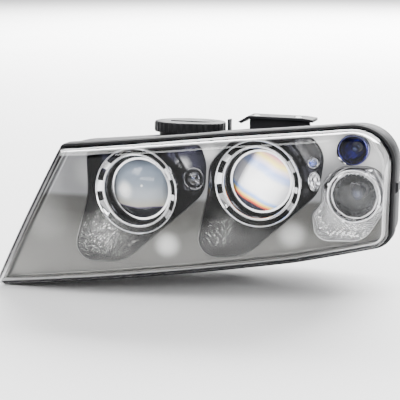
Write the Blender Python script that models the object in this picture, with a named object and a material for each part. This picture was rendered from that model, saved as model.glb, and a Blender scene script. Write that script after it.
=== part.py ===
"""Left-hand car headlight assembly with two aimed projectors, a turn lamp and a position lamp.

Frame: metres, +Z up, the lens faces -Y and sweeps back towards +X, the outer side of the car.
The origin is the centre of the underside of the housing's lower foot.
"""

import math

import bmesh
import bpy
from mathutils import Matrix, Vector

# Overall sizes
LENS_LENGTH = 0.455
LENS_HEIGHT = 0.2035
HOUSING_DEPTH = 0.230

# Where the lens stands: its inner end, its lowest and its foremost point
INNER_END_X = -0.255
LOWEST_Z = -0.0225
FRONT_Y = -0.170

# The lens's sweep: an arc in plan, with the same turn for any length, a rake and a slight crown
SWEEP_SPAN = 0.455
SWEEP_RADIUS = LENS_LENGTH / SWEEP_SPAN
SWEEP_START = 0.040
RAKE = math.tan(math.radians(8.0))
CROWN_RADIUS = 0.900
CROWN_SHARE = 0.602

# Walls and clearances
GAP = 0.0003
SEAT_GAP = 0.0004
LENS_WALL = 0.0025
LENS_SKIRT = 0.033
SEAL_WIDTH = 0.003
SEAL_INSET = 0.0005
LEDGE_INSET = 0.0085
SEAL_FRONT = 0.0182
RIM_SETBACK = 0.022
RIM_DEPTH = 0.015
HOUSING_WALL = 0.003
BEZEL_WALL = 0.002
BEZEL_SETBACK = 0.028
BEZEL_LIP = 0.008
POCKET_WALL = 0.0014

# Projectors
PROJECTOR_LENS_R = 0.035
LENS_SAG = 0.015
LENS_FLANGE = 0.003
RING_BORE_R = PROJECTOR_LENS_R + 0.0050
RING_R = RING_BORE_R + 0.0105
RING_DEPTH = 0.0235
RING_SLEEVE = 0.0025
HOOP_DEPTH = 0.0055
HOOP_WALL = 0.0022
SEAT_R = RING_BORE_R + 0.0060
LOW_SETBACK = 0.024
HIGH_SETBACK = 0.0265
LENS_BEHIND_RING = 0.020
HOLDER_WALL = 0.0016
FLANGE_R = PROJECTOR_LENS_R + 0.0090
PLATE_BEHIND_RING = 0.065
PLATE_WALL = 0.006
REFLECTOR_R = PROJECTOR_LENS_R - 0.0010
REFLECTOR_LENGTH = 0.046
REFLECTOR_WALL = 0.0015
BULB_HOLE_R = 0.009
AIM_CLEARANCE = 0.0034

# Turn and position lamps
TURN_BORE_R = 0.028
TURN_RING_R = TURN_BORE_R + 0.003
TURN_SETBACK = 0.026
TURN_DEPTH = 0.016
POSITION_R = 0.0172
POSITION_SETBACK = 0.024

# Small lamps in the outer lobes of the two projector pockets
MARKER_R = 0.011
MARKER_OFFSET = (0.0623, 0.0145)
SIDE_R = 0.0072
SIDE_STRETCH = 1.6
SIDE_OFFSET = (0.0602, 0.0030)
PILOT_R = 0.0063
PILOT_OFFSET = (0.0585, 0.0238)

# Aiming gear
PIN_R = 0.003
PIN_CLEARANCE = 0.0004
ARM_WALL = 0.006
ARM_WIDTH = 0.014
CROSS_HALF = Vector((0.008, 0.007, 0.0127))
LEVEL_DROP = 0.064
AIM_LUG_CLEARANCE = 0.001865
BALL_R = 0.004
ROD_R = 0.0025
LUG_SIZE = 0.014

# Service caps
CAP_BOSS_R = 0.0365
CAP_R = CAP_BOSS_R + 0.0060
CAP_HOLE_R = CAP_BOSS_R - 0.0055
CAP_LOWEST = -0.0075
CAP_TOP = 0.005
CAP_SEAL = 0.0014
BOSS_HEIGHT = 0.008
TOP_CAP_TILT = math.radians(3.5)
TOP_CAP_SETBACK = 0.1006
HOOK = Vector((0.0028, 0.008, 0.0185))
HOOK_CLEARANCE = 0.0053

# Lower foot and upper bracket
FOOT = Vector((0.056, 0.036, 0.022))
FOOT_BOLT_R = 0.0033
BRACKET_LENGTH = 0.090
BRACKET_DEPTH = 0.025
BRACKET_WALL = 0.0032

# Lamp outline: share of length, share of height, fillet radius, steps round it, steps to the next
LAMP_CORNERS = (
    (0.1846, 0.8452, 0.005, 2, 4),
    (0.0, 0.0, 0.009, 4, 5),
    (0.7802, 0.2310, 0.300, 2, 2),
    (0.9989, 0.3219, 0.020, 3, 2),
    (0.9956, 1.0, 0.048, 6, 3),
    (0.6044, 0.9351, 0.500, 2, 3),
)
# The housing's rear wall, corner for corner
REAR_CORNERS = (
    (0.230, 0.660, 0.020, 2, 4),
    (0.170, 0.200, 0.020, 4, 5),
    (0.780, 0.245, 0.300, 2, 2),
    (0.956, 0.340, 0.020, 3, 2),
    (0.950, 0.830, 0.030, 6, 3),
    (0.610, 0.748, 0.500, 2, 3),
)
# Pocket outlines: offset from the lamp's axis, fillet radius, steps round it, steps to the next
LOW_POCKET = (
    (-0.062, 0.0448, 0.008, 2, 2),
    (-0.057, -0.006, 0.060, 2, 2),
    (-0.077, -0.084, 0.022, 5, 1),
    (-0.012, -0.083, 0.045, 3, 3),
    (0.0785, 0.000, 0.030, 3, 2),
    (0.0785, 0.034, 0.040, 2, 1),
    (0.0700, 0.0545, 0.010, 2, 4),
)
HIGH_POCKET = (
    (-0.030, 0.0478, 0.010, 2, 1),
    (-0.0534, 0.022, 0.030, 2, 2),
    (-0.0532, -0.012, 0.080, 1, 2),
    (-0.067, -0.085, 0.022, 5, 1),
    (-0.010, -0.083, 0.045, 3, 3),
    (0.0665, -0.010, 0.030, 3, 1),
    (0.0705, 0.034, 0.030, 2, 1),
    (0.056, 0.0520, 0.008, 2, 3),
)
TURN_POCKET = (
    (-0.0335, 0.016, 0.018, 2, 1),
    (-0.0335, -0.006, 0.012, 1, 1),
    (-0.043, -0.020, 0.012, 2, 1),
    (-0.038, -0.050, 0.018, 4, 1),
    (0.014, -0.051, 0.024, 3, 1),
    (0.0335, -0.018, 0.024, 3, 1),
    (0.0335, 0.024, 0.024, 3, 1),
    (0.016, 0.0335, 0.020, 2, 2),
    (-0.018, 0.0335, 0.020, 2, 1),
)
# Open windows round each projector ring, in degrees from +X
RING_WINDOWS = ((38, 137), (149, 168), (184, 198), (220, 322), (335, 350), (358, 380))
WINDOW_R = (RING_BORE_R + 0.0036, RING_R - 0.0027)

# Round pieces: segments by how much of them shows
RINGED = 36
SHOWN = 24
HIDDEN = 16
SMALL = 8

MATERIALS = {
    "housing_plastic": ((0.030, 0.031, 0.034), 0.55, 0.0),
    "seal_rubber": ((0.012, 0.012, 0.013), 0.75, 0.0),
    "clear_lens": ((0.90, 0.93, 0.95), 0.04, 0.0),
    "satin_bezel": ((0.56, 0.56, 0.54), 0.38, 0.9),
    "chrome": ((0.82, 0.83, 0.84), 0.08, 1.0),
    "optical_glass": ((0.80, 0.88, 0.94), 0.02, 0.0),
    "bulb_glass": ((0.70, 0.80, 0.95), 0.05, 0.0),
    "black_steel": ((0.06, 0.06, 0.065), 0.35, 0.8),
    "cast_alloy": ((0.48, 0.49, 0.50), 0.45, 0.9),
    "zinc_steel": ((0.62, 0.62, 0.60), 0.35, 1.0),
    "natural_nylon": ((0.72, 0.70, 0.62), 0.5, 0.0),
    "connector_plastic": ((0.045, 0.045, 0.05), 0.5, 0.0),
    "alloy_case": ((0.55, 0.56, 0.57), 0.4, 0.9),
}
CLEAR = {"clear_lens": 0.35, "optical_glass": 0.5, "bulb_glass": 0.5}


# ---------------------------------------------------------------- layout

def station(share):
    """X at a share of the lens's length from its inner end."""
    return INNER_END_X + share * LENS_LENGTH


def level(share):
    """Z at a share of the lens's height from its lowest point."""
    return LOWEST_Z + share * LENS_HEIGHT


def sheet_y(x, z, back=0.0):
    """Y of the lens's front face at (x, z), or of the surface that far behind it."""
    across = x - INNER_END_X - SWEEP_START
    rise = z - level(CROWN_SHARE)
    sweep = SWEEP_RADIUS - math.sqrt(SWEEP_RADIUS**2 - across**2)
    return FRONT_Y + sweep + rise * RAKE + rise**2 / (2 * CROWN_RADIUS) + back


def lamp_axis(share_x, share_z, setback):
    """The point where a lamp's axis meets the plane of its ring."""
    x, z = station(share_x), level(share_z)
    return Vector((x, sheet_y(x, z, setback), z))


LOW = lamp_axis(0.3796, 0.5966, LOW_SETBACK)
HIGH = lamp_axis(0.6747, 0.6536, HIGH_SETBACK)
TURN = lamp_axis(0.9004, 0.5872, TURN_SETBACK)
POSITION = lamp_axis(0.8934, 0.8403, POSITION_SETBACK)
REAR_Y = FRONT_Y + HOUSING_DEPTH
TOP_CAP = Vector((station(0.4523), sheet_y(station(0.4523), level(0.9)) + TOP_CAP_SETBACK, level(0.9189)))
REAR_CAP = Vector((LOW.x, REAR_Y + BOSS_HEIGHT, level(0.4545)))
BRACKET = Vector((station(0.678), sheet_y(station(0.678), level(0.97), 0.091), level(0.9845)))
PIVOT = (LOW + HIGH) / 2 + Vector((0, PLATE_BEHIND_RING + PLATE_WALL / 2, 0))
LEVEL_BALL = PIVOT - Vector((0, 0, LEVEL_DROP))
AIM_BALL = Vector((HIGH.x + FLANGE_R + AIM_LUG_CLEARANCE + LUG_SIZE / 2, PIVOT.y, PIVOT.z))
MARKER = LOW + Vector((MARKER_OFFSET[0], RING_DEPTH + POCKET_WALL, MARKER_OFFSET[1]))
SIDE = HIGH + Vector((SIDE_OFFSET[0], RING_DEPTH, SIDE_OFFSET[1]))
PILOT = HIGH + Vector((PILOT_OFFSET[0], RING_DEPTH, PILOT_OFFSET[1]))


# ---------------------------------------------------------------- outlines

def rounded(corners, inset=0.0):
    """(x, z) points of an anticlockwise polygon with filleted corners, moved inwards by inset."""
    points = [Vector(corner[:2]) for corner in corners]
    count = len(points)
    sides = [(points[(i + 1) % count] - points[i]).normalized() for i in range(count)]
    arcs = []
    for i, (_, _, radius, steps, _) in enumerate(corners):
        before, after = sides[i - 1], sides[i]
        turn = math.atan2(before.x * after.y - before.y * after.x, before.dot(after))
        inwards = Vector((-before.y, before.x)) + Vector((-after.y, after.x))
        inwards /= 1 + before.dot(after)
        side = math.copysign(1.0, turn)
        fillet = max(radius - side * inset, 0.0006)
        corner = points[i] + inwards * inset
        centre = corner + inwards * fillet * side
        start = corner - before * fillet * math.tan(abs(turn) / 2) - centre
        arcs.append([centre + Matrix.Rotation(turn * k / steps, 2) @ start for k in range(steps + 1)])
    path = []
    for i, arc in enumerate(arcs):
        path += arc
        ends = arc[-1], arcs[(i + 1) % count][0]
        steps = corners[i][4]
        path += [ends[0].lerp(ends[1], k / steps) for k in range(1, steps)]
    return path


def placed(corners):
    """Lamp or rear-wall corners, from shares of the length and height to metres."""
    return [(station(x), level(z), *rest) for x, z, *rest in corners]


def around(axis, corners):
    """Pocket corners, from offsets to metres."""
    return [(axis.x + x, axis.z + z, *rest) for x, z, *rest in corners]


def scaled(outline, share):
    """The outline drawn in towards its middle."""
    middle = sum(outline, Vector((0, 0))) / len(outline)
    return [middle.lerp(point, share) for point in outline]


def on_sheet(outline, back):
    """A loop of points that far behind the lens's front face."""
    return [Vector((p.x, sheet_y(p.x, p.y, back), p.y)) for p in outline]


def at_y(outline, y):
    return [Vector((p.x, y, p.y)) for p in outline]


def circle_facing(outline, axis, radius):
    """Points of a circle, each at the angle at which the outline's own point stands."""
    spokes = [(p - Vector((axis.x, axis.z))).normalized() for p in outline]
    return [Vector((axis.x, axis.z)) + spoke * radius for spoke in spokes]


# ---------------------------------------------------------------- solids

def material(name):
    """One Principled material for each name, made once."""
    found = bpy.data.materials.get(name)
    if found:
        return found
    colour, roughness, metallic = MATERIALS[name]
    made = bpy.data.materials.new(name)
    made.use_nodes = True
    shader = made.node_tree.nodes["Principled BSDF"]
    shader.inputs["Base Color"].default_value = (*colour, 1)
    shader.inputs["Roughness"].default_value = roughness
    shader.inputs["Metallic"].default_value = metallic
    shader.inputs["Alpha"].default_value = CLEAR.get(name, 1.0)
    made.diffuse_color = (*colour, 1)
    return made


def skin(bm, loops, ring=False):
    """Faces between loops of points. A loop of one point closes to it; others end in a flat cap."""
    rows = [[bm.verts.new(point) for point in loop] for loop in loops]
    pairs = list(zip(rows, rows[1:])) + ([(rows[-1], rows[0])] if ring else [])
    for first, second in pairs:
        count = max(len(first), len(second))
        for i in range(count):
            j = (i + 1) % count
            if len(first) == 1:
                bm.faces.new((first[0], second[j], second[i]))
            elif len(second) == 1:
                bm.faces.new((first[i], first[j], second[0]))
            else:
                bm.faces.new((first[i], first[j], second[j], second[i]))
    if not ring:
        for row in (rows[0], rows[-1]):
            if len(row) > 1:
                bm.faces.new(row)


def turned(bm, profile, centre, direction=(0, 1, 0), segments=HIDDEN, stretch=1.0):
    """A solid turned about an axis: profile is (radius, distance along it), and it closes on itself."""
    turn = Vector((0, 0, 1)).rotation_difference(Vector(direction)).to_matrix()
    loops = []
    for radius, along in profile:
        if radius == 0:
            loops.append([Vector(centre) + turn @ Vector((0, 0, along))])
            continue
        angles = [2 * math.pi * k / segments for k in range(segments)]
        loops.append([
            Vector(centre) + turn @ Vector((radius * math.cos(a), stretch * radius * math.sin(a), along))
            for a in angles
        ])
    skin(bm, loops, ring=profile[0][0] > 0 and profile[-1][0] > 0)


def brick(bm, low, high):
    corners = [Vector((x, y, z)) for z in (low[2], high[2]) for x, y in (
        (low[0], low[1]), (high[0], low[1]), (high[0], high[1]), (low[0], high[1]))]
    skin(bm, [corners[:4], corners[4:]])


def block(bm, centre, size):
    half = Vector(size) / 2
    brick(bm, Vector(centre) - half, Vector(centre) + half)


def prism(bm, outline, axis, low, high):
    """An outline pushed along X, Y or Z. Its points are the other two coordinates, in order."""
    def point(u, v, along):
        values = [u, v]
        values.insert("XYZ".index(axis), along)
        return Vector(values)
    skin(bm, [[point(u, v, along) for u, v in outline] for along in (low, high)])


def rod(bm, start, end, radius, segments=SMALL):
    start, end = Vector(start), Vector(end)
    profile = [(0, 0), (radius, 0), (radius, (end - start).length), (0, (end - start).length)]
    turned(bm, profile, start, end - start, segments)


def solid(name, surface, build, smooth=30.0, origin=(0, 0, 0)):
    """An object from build(bm), with its faces out and its origin where it is asked for."""
    bm = bmesh.new()
    build(bm)
    bmesh.ops.recalc_face_normals(bm, faces=bm.faces)
    bmesh.ops.translate(bm, verts=bm.verts, vec=-Vector(origin))
    mesh = bpy.data.meshes.new(name)
    bm.to_mesh(mesh)
    bm.free()
    mesh.shade_smooth()
    mesh.set_sharp_from_angle(angle=math.radians(smooth))
    if surface:
        mesh.materials.append(material(surface))
    obj = bpy.data.objects.new(name, mesh)
    obj.location = origin
    bpy.context.scene.collection.objects.link(obj)
    return obj


def combine(target, operation, name, build):
    """A Boolean on target with a helper solid that isn't part of the lamp."""
    helper = solid(name, None, build)
    helper.hide_render = True
    helper.display_type = "WIRE"
    change = target.modifiers.new(name, "BOOLEAN")
    change.operation = operation
    change.solver = "EXACT"
    change.object = helper
    helper.parent = target
    helper.matrix_parent_inverse = Matrix.Translation(-target.location)


def add(target, name, build):
    combine(target, "UNION", name, build)


def cut(target, name, build):
    combine(target, "DIFFERENCE", name, build)


# ---------------------------------------------------------------- body of the lamp

def make_housing():
    lamp, rear = placed(LAMP_CORNERS), placed(REAR_CORNERS)
    rim_back = RIM_SETBACK + RIM_DEPTH
    ledge = LENS_SKIRT + 2 * GAP
    channel = SEAL_INSET + SEAL_WIDTH
    shoulder = 0.0025
    belly_share, belly_depth = 0.15, 0.45
    corner = 0.008

    def belly(inset, rear_inset):
        front = on_sheet(rounded(lamp, inset), rim_back + shoulder)
        back = at_y(rounded(rear, rear_inset), REAR_Y)
        loop = []
        for a, b in zip(front, back):
            middle = a.lerp(b, belly_share)
            middle.y = a.y + (b.y - a.y) * belly_depth
            loop.append(middle)
        return loop

    def shell(bm):
        skin(bm, [
            at_y(rounded(rear, corner), REAR_Y),
            at_y(rounded(rear, 0), REAR_Y - corner),
            belly(shoulder, 0),
            on_sheet(rounded(lamp, shoulder), rim_back + shoulder),
            on_sheet(rounded(lamp), rim_back),
            on_sheet(rounded(lamp), RIM_SETBACK + GAP),
            on_sheet(rounded(lamp, channel), RIM_SETBACK + GAP),
            on_sheet(rounded(lamp, channel), ledge),
            on_sheet(rounded(lamp, LEDGE_INSET), ledge),
            on_sheet(rounded(lamp, LEDGE_INSET), rim_back + shoulder),
            belly(shoulder + HOUSING_WALL, HOUSING_WALL),
            at_y(rounded(rear, HOUSING_WALL), REAR_Y - corner),
            at_y(rounded(rear, corner + 0.001), REAR_Y - HOUSING_WALL),
        ])

    housing = solid("housing", "housing_plastic", shell, smooth=35)
    floor = CAP_LOWEST - 2 * GAP
    recess = [(0, floor), (CAP_R + 0.0015, floor), (CAP_R + 0.0015, 0.020), (0, 0.020)]
    cut(housing, "cut_top_recess", lambda bm: turned(bm, recess, TOP_CAP, cap_direction()))
    boss = [(0, 0), (CAP_BOSS_R, 0), (CAP_BOSS_R, -0.022), (0, -0.022)]
    rear_boss = [(r, a if a == 0 else -BOSS_HEIGHT - HOUSING_WALL / 2) for r, a in boss]
    add(housing, "add_top_boss", lambda bm: turned(bm, boss, TOP_CAP, cap_direction()))
    add(housing, "add_rear_boss", lambda bm: turned(bm, rear_boss, REAR_CAP))
    add(housing, "add_foot", lambda bm: block(bm, Vector((0, 0, FOOT.z / 2)), FOOT))
    post = Vector((0.012, 0.014, 0.020))
    for k, x in enumerate(bracket_posts()):
        top = Vector((x, BRACKET.y, BRACKET.z - BRACKET_WALL - GAP))
        add(housing, f"add_bracket_post_{k}", lambda bm: block(bm, top - Vector((0, 0, post.z / 2)), post))
    hook = TOP_CAP + Vector((CAP_R + HOOK_CLEARANCE + HOOK.x / 2, 0, 0))
    add(housing, "add_loom_hook", lambda bm: block(bm, hook, HOOK))
    peg_x = station(1.0) + 0.0015
    peg_z = level(0.6315)
    peg_y = sheet_y(peg_x, peg_z, 0.030)
    add(housing, "add_side_peg", lambda bm: prism(bm, [
        (peg_x - 0.0045, peg_z - 0.008), (peg_x - 0.003, peg_z - 0.0065), (peg_x, peg_z - 0.003),
        (peg_x, peg_z + 0.0065), (peg_x - 0.0045, peg_z + 0.0065)], "Y", peg_y - 0.006, peg_y + 0.006))
    inside = [(0, -0.030), (CAP_HOLE_R, -0.030), (CAP_HOLE_R, 0.004), (0, 0.004)]
    cut(housing, "cut_top_hole", lambda bm: turned(bm, inside, TOP_CAP, cap_direction()))
    cut(housing, "cut_rear_hole", lambda bm: turned(bm, inside, REAR_CAP))
    wall = Vector((AIM_BALL.x, REAR_Y, AIM_BALL.z))
    ahead, behind = Vector((0, 0.010, 0)), Vector((0, 0.005, 0))
    cut(housing, "cut_spindle_hole", lambda bm: rod(bm, wall - ahead, wall + behind, ROD_R + PIN_CLEARANCE))
    bolt = Vector((FOOT.x * 0.35, 0, -0.001))
    cut(housing, "cut_foot_bolt", lambda bm: rod(bm, bolt, bolt + Vector((0, 0, 0.013)), FOOT_BOLT_R))


def cap_direction():
    return Vector((0, math.sin(TOP_CAP_TILT), math.cos(TOP_CAP_TILT)))


def bracket_posts():
    return BRACKET.x - BRACKET_LENGTH * 0.28, BRACKET.x + BRACKET_LENGTH * 0.28


def fan(outline, back):
    """Loops from near the middle of a sheet out to the outline."""
    middle = sum(outline, Vector((0, 0))) / len(outline)
    return [on_sheet([middle], back)] + [on_sheet(scaled(outline, share), back) for share in (0.45, 0.80)]


def make_lens_and_seal():
    lamp = placed(LAMP_CORNERS)
    lip = SEAL_INSET
    skirt = lip + SEAL_WIDTH + GAP

    def seal(bm):
        outer, inner = rounded(lamp, lip), rounded(lamp, lip + SEAL_WIDTH)
        skin(bm, [on_sheet(outer, SEAL_FRONT), on_sheet(outer, RIM_SETBACK), on_sheet(inner, RIM_SETBACK),
                  on_sheet(inner, SEAL_FRONT)], ring=True)

    def lens(bm):
        face, inside = rounded(lamp, 0.013), rounded(lamp, 0.013 + LENS_WALL)
        outer = [(0.013, 0.0002), (0.008, 0.0016), (0.0052, 0.0055), (skirt, 0.012), (skirt, LENS_SKIRT)]
        inner = [(back_inset + LENS_WALL, depth) for back_inset, depth in reversed(outer)]
        inner[-1] = (0.013 + LENS_WALL, LENS_WALL + 0.0002)
        inner[-2] = (0.008 + LENS_WALL, LENS_WALL + 0.0016)
        loops = fan(face, 0) + [on_sheet(rounded(lamp, inset), depth) for inset, depth in outer]
        loops += [on_sheet(rounded(lamp, inset), depth) for inset, depth in inner]
        skin(bm, loops + fan(inside, LENS_WALL)[::-1])

    solid("lens_seal", "seal_rubber", seal)
    solid("outer_lens", "clear_lens", lens, smooth=40)


def make_bezel():
    lamp = placed(LAMP_CORNERS)
    edge = SEAL_INSET + SEAL_WIDTH + GAP + LENS_WALL + 2 * GAP
    lip = edge + 0.0015
    front, back = BEZEL_SETBACK, BEZEL_SETBACK + BEZEL_WALL

    def sheet(bm):
        loops = fan(rounded(lamp, lip), front) + [on_sheet(rounded(lamp, lip), front)]
        loops += [on_sheet(rounded(lamp, inset), front - BEZEL_LIP) for inset in (lip, edge)]
        loops += [on_sheet(rounded(lamp, edge), back)] + fan(rounded(lamp, edge), back)[::-1]
        skin(bm, loops)

    bezel = solid("inner_bezel", "satin_bezel", sheet, smooth=35)
    openings = ("low", LOW, LOW_POCKET), ("high", HIGH, HIGH_POCKET), ("turn", TURN, TURN_POCKET)
    for name, axis, corners in openings:
        outline = rounded(around(axis, corners))
        cut(bezel, f"cut_{name}_opening", lambda bm: prism(
            bm, outline, "Y", FRONT_Y - 0.010, axis.y + 0.060))
    through = Vector((0, 0.040, 0))
    cut(bezel, "cut_position_opening", lambda bm: rod(
        bm, POSITION - through, POSITION + through, POSITION_R + SEAT_GAP, SHOWN))


def make_pocket(name, axis, corners, floor_r, hole_r, floor_depth):
    """A bright bowl from the bezel's opening down to the seat of the lamp's ring."""
    shape = around(axis, corners)
    outer, inner = rounded(shape, SEAT_GAP), rounded(shape, SEAT_GAP + POCKET_WALL)
    back = BEZEL_SETBACK + 0.0008
    floor_y = axis.y + floor_depth

    def bowl(outline, radius, shift):
        """Loops from the opening to the floor's edge."""
        rim = on_sheet(outline, back)
        seat = at_y(circle_facing(outline, axis, radius), floor_y + shift)
        loops = [rim]
        for inwards, deeper in ((0.10, 0.45), (0.45, 0.84)):
            step = [a.lerp(b, inwards) for a, b in zip(rim, seat)]
            for point, a, b in zip(step, rim, seat):
                point.y = a.y + shift * (1 - deeper) + (b.y - a.y) * deeper
            loops.append(step)
        return loops + [seat]

    def shell(bm):
        front = bowl(inner, floor_r, 0.0)
        rear = bowl(outer, floor_r + POCKET_WALL, POCKET_WALL)
        middles = [[Vector((axis.x, floor_y + shift, axis.z))] for shift in (0.0, POCKET_WALL)]
        skin(bm, middles[:1] + front[::-1] + rear + middles[1:])

    pocket = solid(name, "chrome", shell, smooth=40)
    through = Vector((0, floor_depth + POCKET_WALL, 0))
    cut(pocket, f"cut_{name}_hole", lambda bm: rod(
        bm, axis + through * 0.5, axis + through * 1.5, hole_r, SHOWN))
    return pocket


def make_pockets():
    hole_r = PROJECTOR_LENS_R + GAP + HOLDER_WALL + AIM_CLEARANCE
    depth = RING_DEPTH + GAP
    low = make_pocket("low_beam_pocket", LOW, LOW_POCKET, SEAT_R, hole_r, depth)
    high = make_pocket("high_beam_pocket", HIGH, HIGH_POCKET, SEAT_R, hole_r, depth)
    make_pocket("turn_pocket", TURN, TURN_POCKET, TURN_RING_R + 0.0007, TURN_BORE_R, TURN_DEPTH)
    ahead = Vector((0, 0.030, 0))
    for pocket, name, lamp, radius, stretch in (
        (low, "marker", MARKER, MARKER_R + 0.0018 + SEAT_GAP, 1.0),
        (high, "side", SIDE, SIDE_R + SEAT_GAP, SIDE_STRETCH),
        (high, "pilot", PILOT, PILOT_R + SEAT_GAP, 1.0),
    ):
        profile = [(0, 0), (radius, 0), (radius, 2 * ahead.y), (0, 2 * ahead.y)]
        cut(pocket, f"cut_{name}_hole", lambda bm: turned(
            bm, profile, lamp - ahead, segments=HIDDEN, stretch=stretch))


# ---------------------------------------------------------------- projectors

def make_ring(name, axis):
    """A slotted cone between an outer and an inner bead, standing on its pocket's floor."""
    outer, bore = RING_R, RING_BORE_R
    hoop, sleeve = outer - HOOP_WALL, bore + RING_SLEEVE
    profile = [
        (outer, 0.0020), (outer - 0.0012, 0.0003), (hoop, 0.0016), (bore + 0.0022, 0.0052),
        (bore + 0.0012, 0.0040), (bore, 0.0052), (bore, RING_DEPTH), (sleeve, RING_DEPTH), (sleeve, 0.0075),
        (hoop, 0.0038), (hoop, HOOP_DEPTH), (outer, HOOP_DEPTH),
    ]
    ring = solid(name, "chrome", lambda bm: turned(bm, profile, axis, segments=RINGED), smooth=35)

    def windows(bm):
        for start, end in RING_WINDOWS:
            steps = max(2, round((end - start) / 18))
            angles = [math.radians(start + (end - start) * k / steps) for k in range(steps + 1)]
            inner = [(WINDOW_R[0] * math.cos(a), WINDOW_R[0] * math.sin(a)) for a in angles]
            rim = [(WINDOW_R[1] * math.cos(a), WINDOW_R[1] * math.sin(a)) for a in angles]
            outline = [(axis.x + u, axis.z + v) for u, v in inner + rim[::-1]]
            prism(bm, outline, "Y", axis.y - 0.002, axis.y + 0.0115)

    cut(ring, f"cut_{name}_windows", windows)


def lens_y(axis):
    return axis.y + LENS_BEHIND_RING


def plate_y(axis):
    return axis.y + PLATE_BEHIND_RING


def make_projector(beam, axis):
    """Barrel, glass and reflector of one projector."""
    front, plate = lens_y(axis) - axis.y, plate_y(axis) - axis.y
    seat = PROJECTOR_LENS_R + GAP
    outer = seat + HOLDER_WALL
    clear_r = PROJECTOR_LENS_R - 0.0017

    holder = [
        (clear_r + GAP, front - 0.0023), (outer, front - 0.0023), (outer, plate - GAP - 0.003),
        (FLANGE_R, plate - GAP - 0.003), (FLANGE_R, plate - GAP), (seat - 0.0015, plate - GAP),
        (seat - 0.0015, front + LENS_FLANGE + GAP), (seat, front + LENS_FLANGE + GAP), (seat, front - GAP),
        (clear_r + GAP, front - GAP),
    ]
    solid(f"{beam}_beam_barrel", "black_steel", lambda bm: turned(bm, holder, axis, segments=SHOWN))

    ball_r = (clear_r**2 + LENS_SAG**2) / (2 * LENS_SAG)
    steps = 6
    angles = [math.asin(clear_r / ball_r) * k / steps for k in range(steps + 1)]
    glass = [(ball_r * math.sin(a), front - LENS_SAG + ball_r * (1 - math.cos(a))) for a in angles]
    rim = front + LENS_FLANGE
    glass += [(PROJECTOR_LENS_R, front), (PROJECTOR_LENS_R, rim), (0, rim)]
    solid(f"{beam}_beam_lens", "optical_glass", lambda bm: turned(bm, glass, axis, segments=SHOWN))

    base = plate + PLATE_WALL + GAP
    steps = 4
    last = math.acos(BULB_HOLE_R / REFLECTOR_R)
    angles = [last * k / steps for k in range(steps + 1)]
    length = REFLECTOR_LENGTH / math.sin(last)
    bowl = [(REFLECTOR_R * math.cos(a), base + length * math.sin(a)) for a in angles]
    outside = [(r + REFLECTOR_WALL, y) for r, y in bowl[1:]]
    back = base + 0.002
    flange = [(REFLECTOR_R + REFLECTOR_WALL, back), (FLANGE_R, back), (FLANGE_R, base)]
    profile = bowl + outside[::-1] + flange
    solid(f"{beam}_beam_reflector", "chrome", lambda bm: turned(bm, profile, axis))
    return base + REFLECTOR_LENGTH


def make_bulbs(neck):
    """Discharge bulb with its igniter in the low beam, halogen bulb with its plug in the high beam."""
    stem_r, flange_r = BULB_HOLE_R - 0.0008, 0.015
    for name, axis, length in (("low_beam_bulb", LOW, 0.030), ("high_beam_bulb", HIGH, 0.026)):
        profile = [
            (0, neck - length), (0.003, neck - length + 0.001), (0.0052, neck - length + 0.006),
            (0.0052, neck - 0.008), (stem_r, neck - 0.006), (stem_r, neck + GAP), (flange_r, neck + GAP),
            (flange_r, neck + 0.004), (0, neck + 0.004),
        ]
        solid(name, "bulb_glass", lambda bm: turned(bm, profile, axis, segments=HIDDEN))
    behind = neck + 0.004 + GAP
    igniter = Vector((0.040, 0.026, 0.038))
    middle = LOW + Vector((0, behind + igniter.y / 2, 0))
    solid("xenon_igniter", "alloy_case", lambda bm: block(bm, middle, igniter))
    plug = [(0, 0), (0.012, 0), (0.012, 0.010), (0.009, 0.012), (0.009, 0.018), (0, 0.018)]
    plug = [(radius, behind + along) for radius, along in plug]
    solid("high_beam_plug", "connector_plastic", lambda bm: turned(bm, plug, HIGH))


def make_shutter():
    """A flap that cuts the low beam off, on a shaft across the bottom of its barrel, and its solenoid."""
    bore = PROJECTOR_LENS_R + GAP - 0.0015
    y = plate_y(LOW) - 0.004
    drop, shaft_r = bore * 0.84, 0.0014
    half = math.sqrt((bore * 0.98) ** 2 - (drop + shaft_r) ** 2) - 0.0012
    axle = Vector((LOW.x, y, LOW.z - drop))
    shoulder = bore * 0.86
    flap = [
        (-half * 0.9, 0.001), (half * 0.9, 0.001), (half * 0.95, 0.004), (shoulder, drop - 0.011),
        (shoulder, drop - 0.002), (0.006, drop - 0.002), (0.0, drop - 0.005), (-shoulder, drop - 0.005),
        (-shoulder, drop - 0.011), (-half * 0.95, 0.004),
    ]

    def build(bm):
        prism(bm, [(axle.x + u, axle.z + v) for u, v in flap], "Y", y - 0.0006, y + 0.0006)

    shutter = solid("beam_shutter", "black_steel", build, origin=axle)
    side = Vector((half, 0, 0))
    add(shutter, "add_shutter_shaft", lambda bm: rod(bm, axle - side, axle + side, shaft_r))
    case = Vector((0.028, 0.026, 0.012))
    below = PROJECTOR_LENS_R + GAP + HOLDER_WALL + 0.0005 + case.z / 2
    centre = Vector((LOW.x, plate_y(LOW) - 2 * GAP - 0.003 - case.y / 2, LOW.z - below))
    solid("shutter_solenoid", "connector_plastic", lambda bm: block(bm, centre, case))


# ---------------------------------------------------------------- aiming gear

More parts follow.
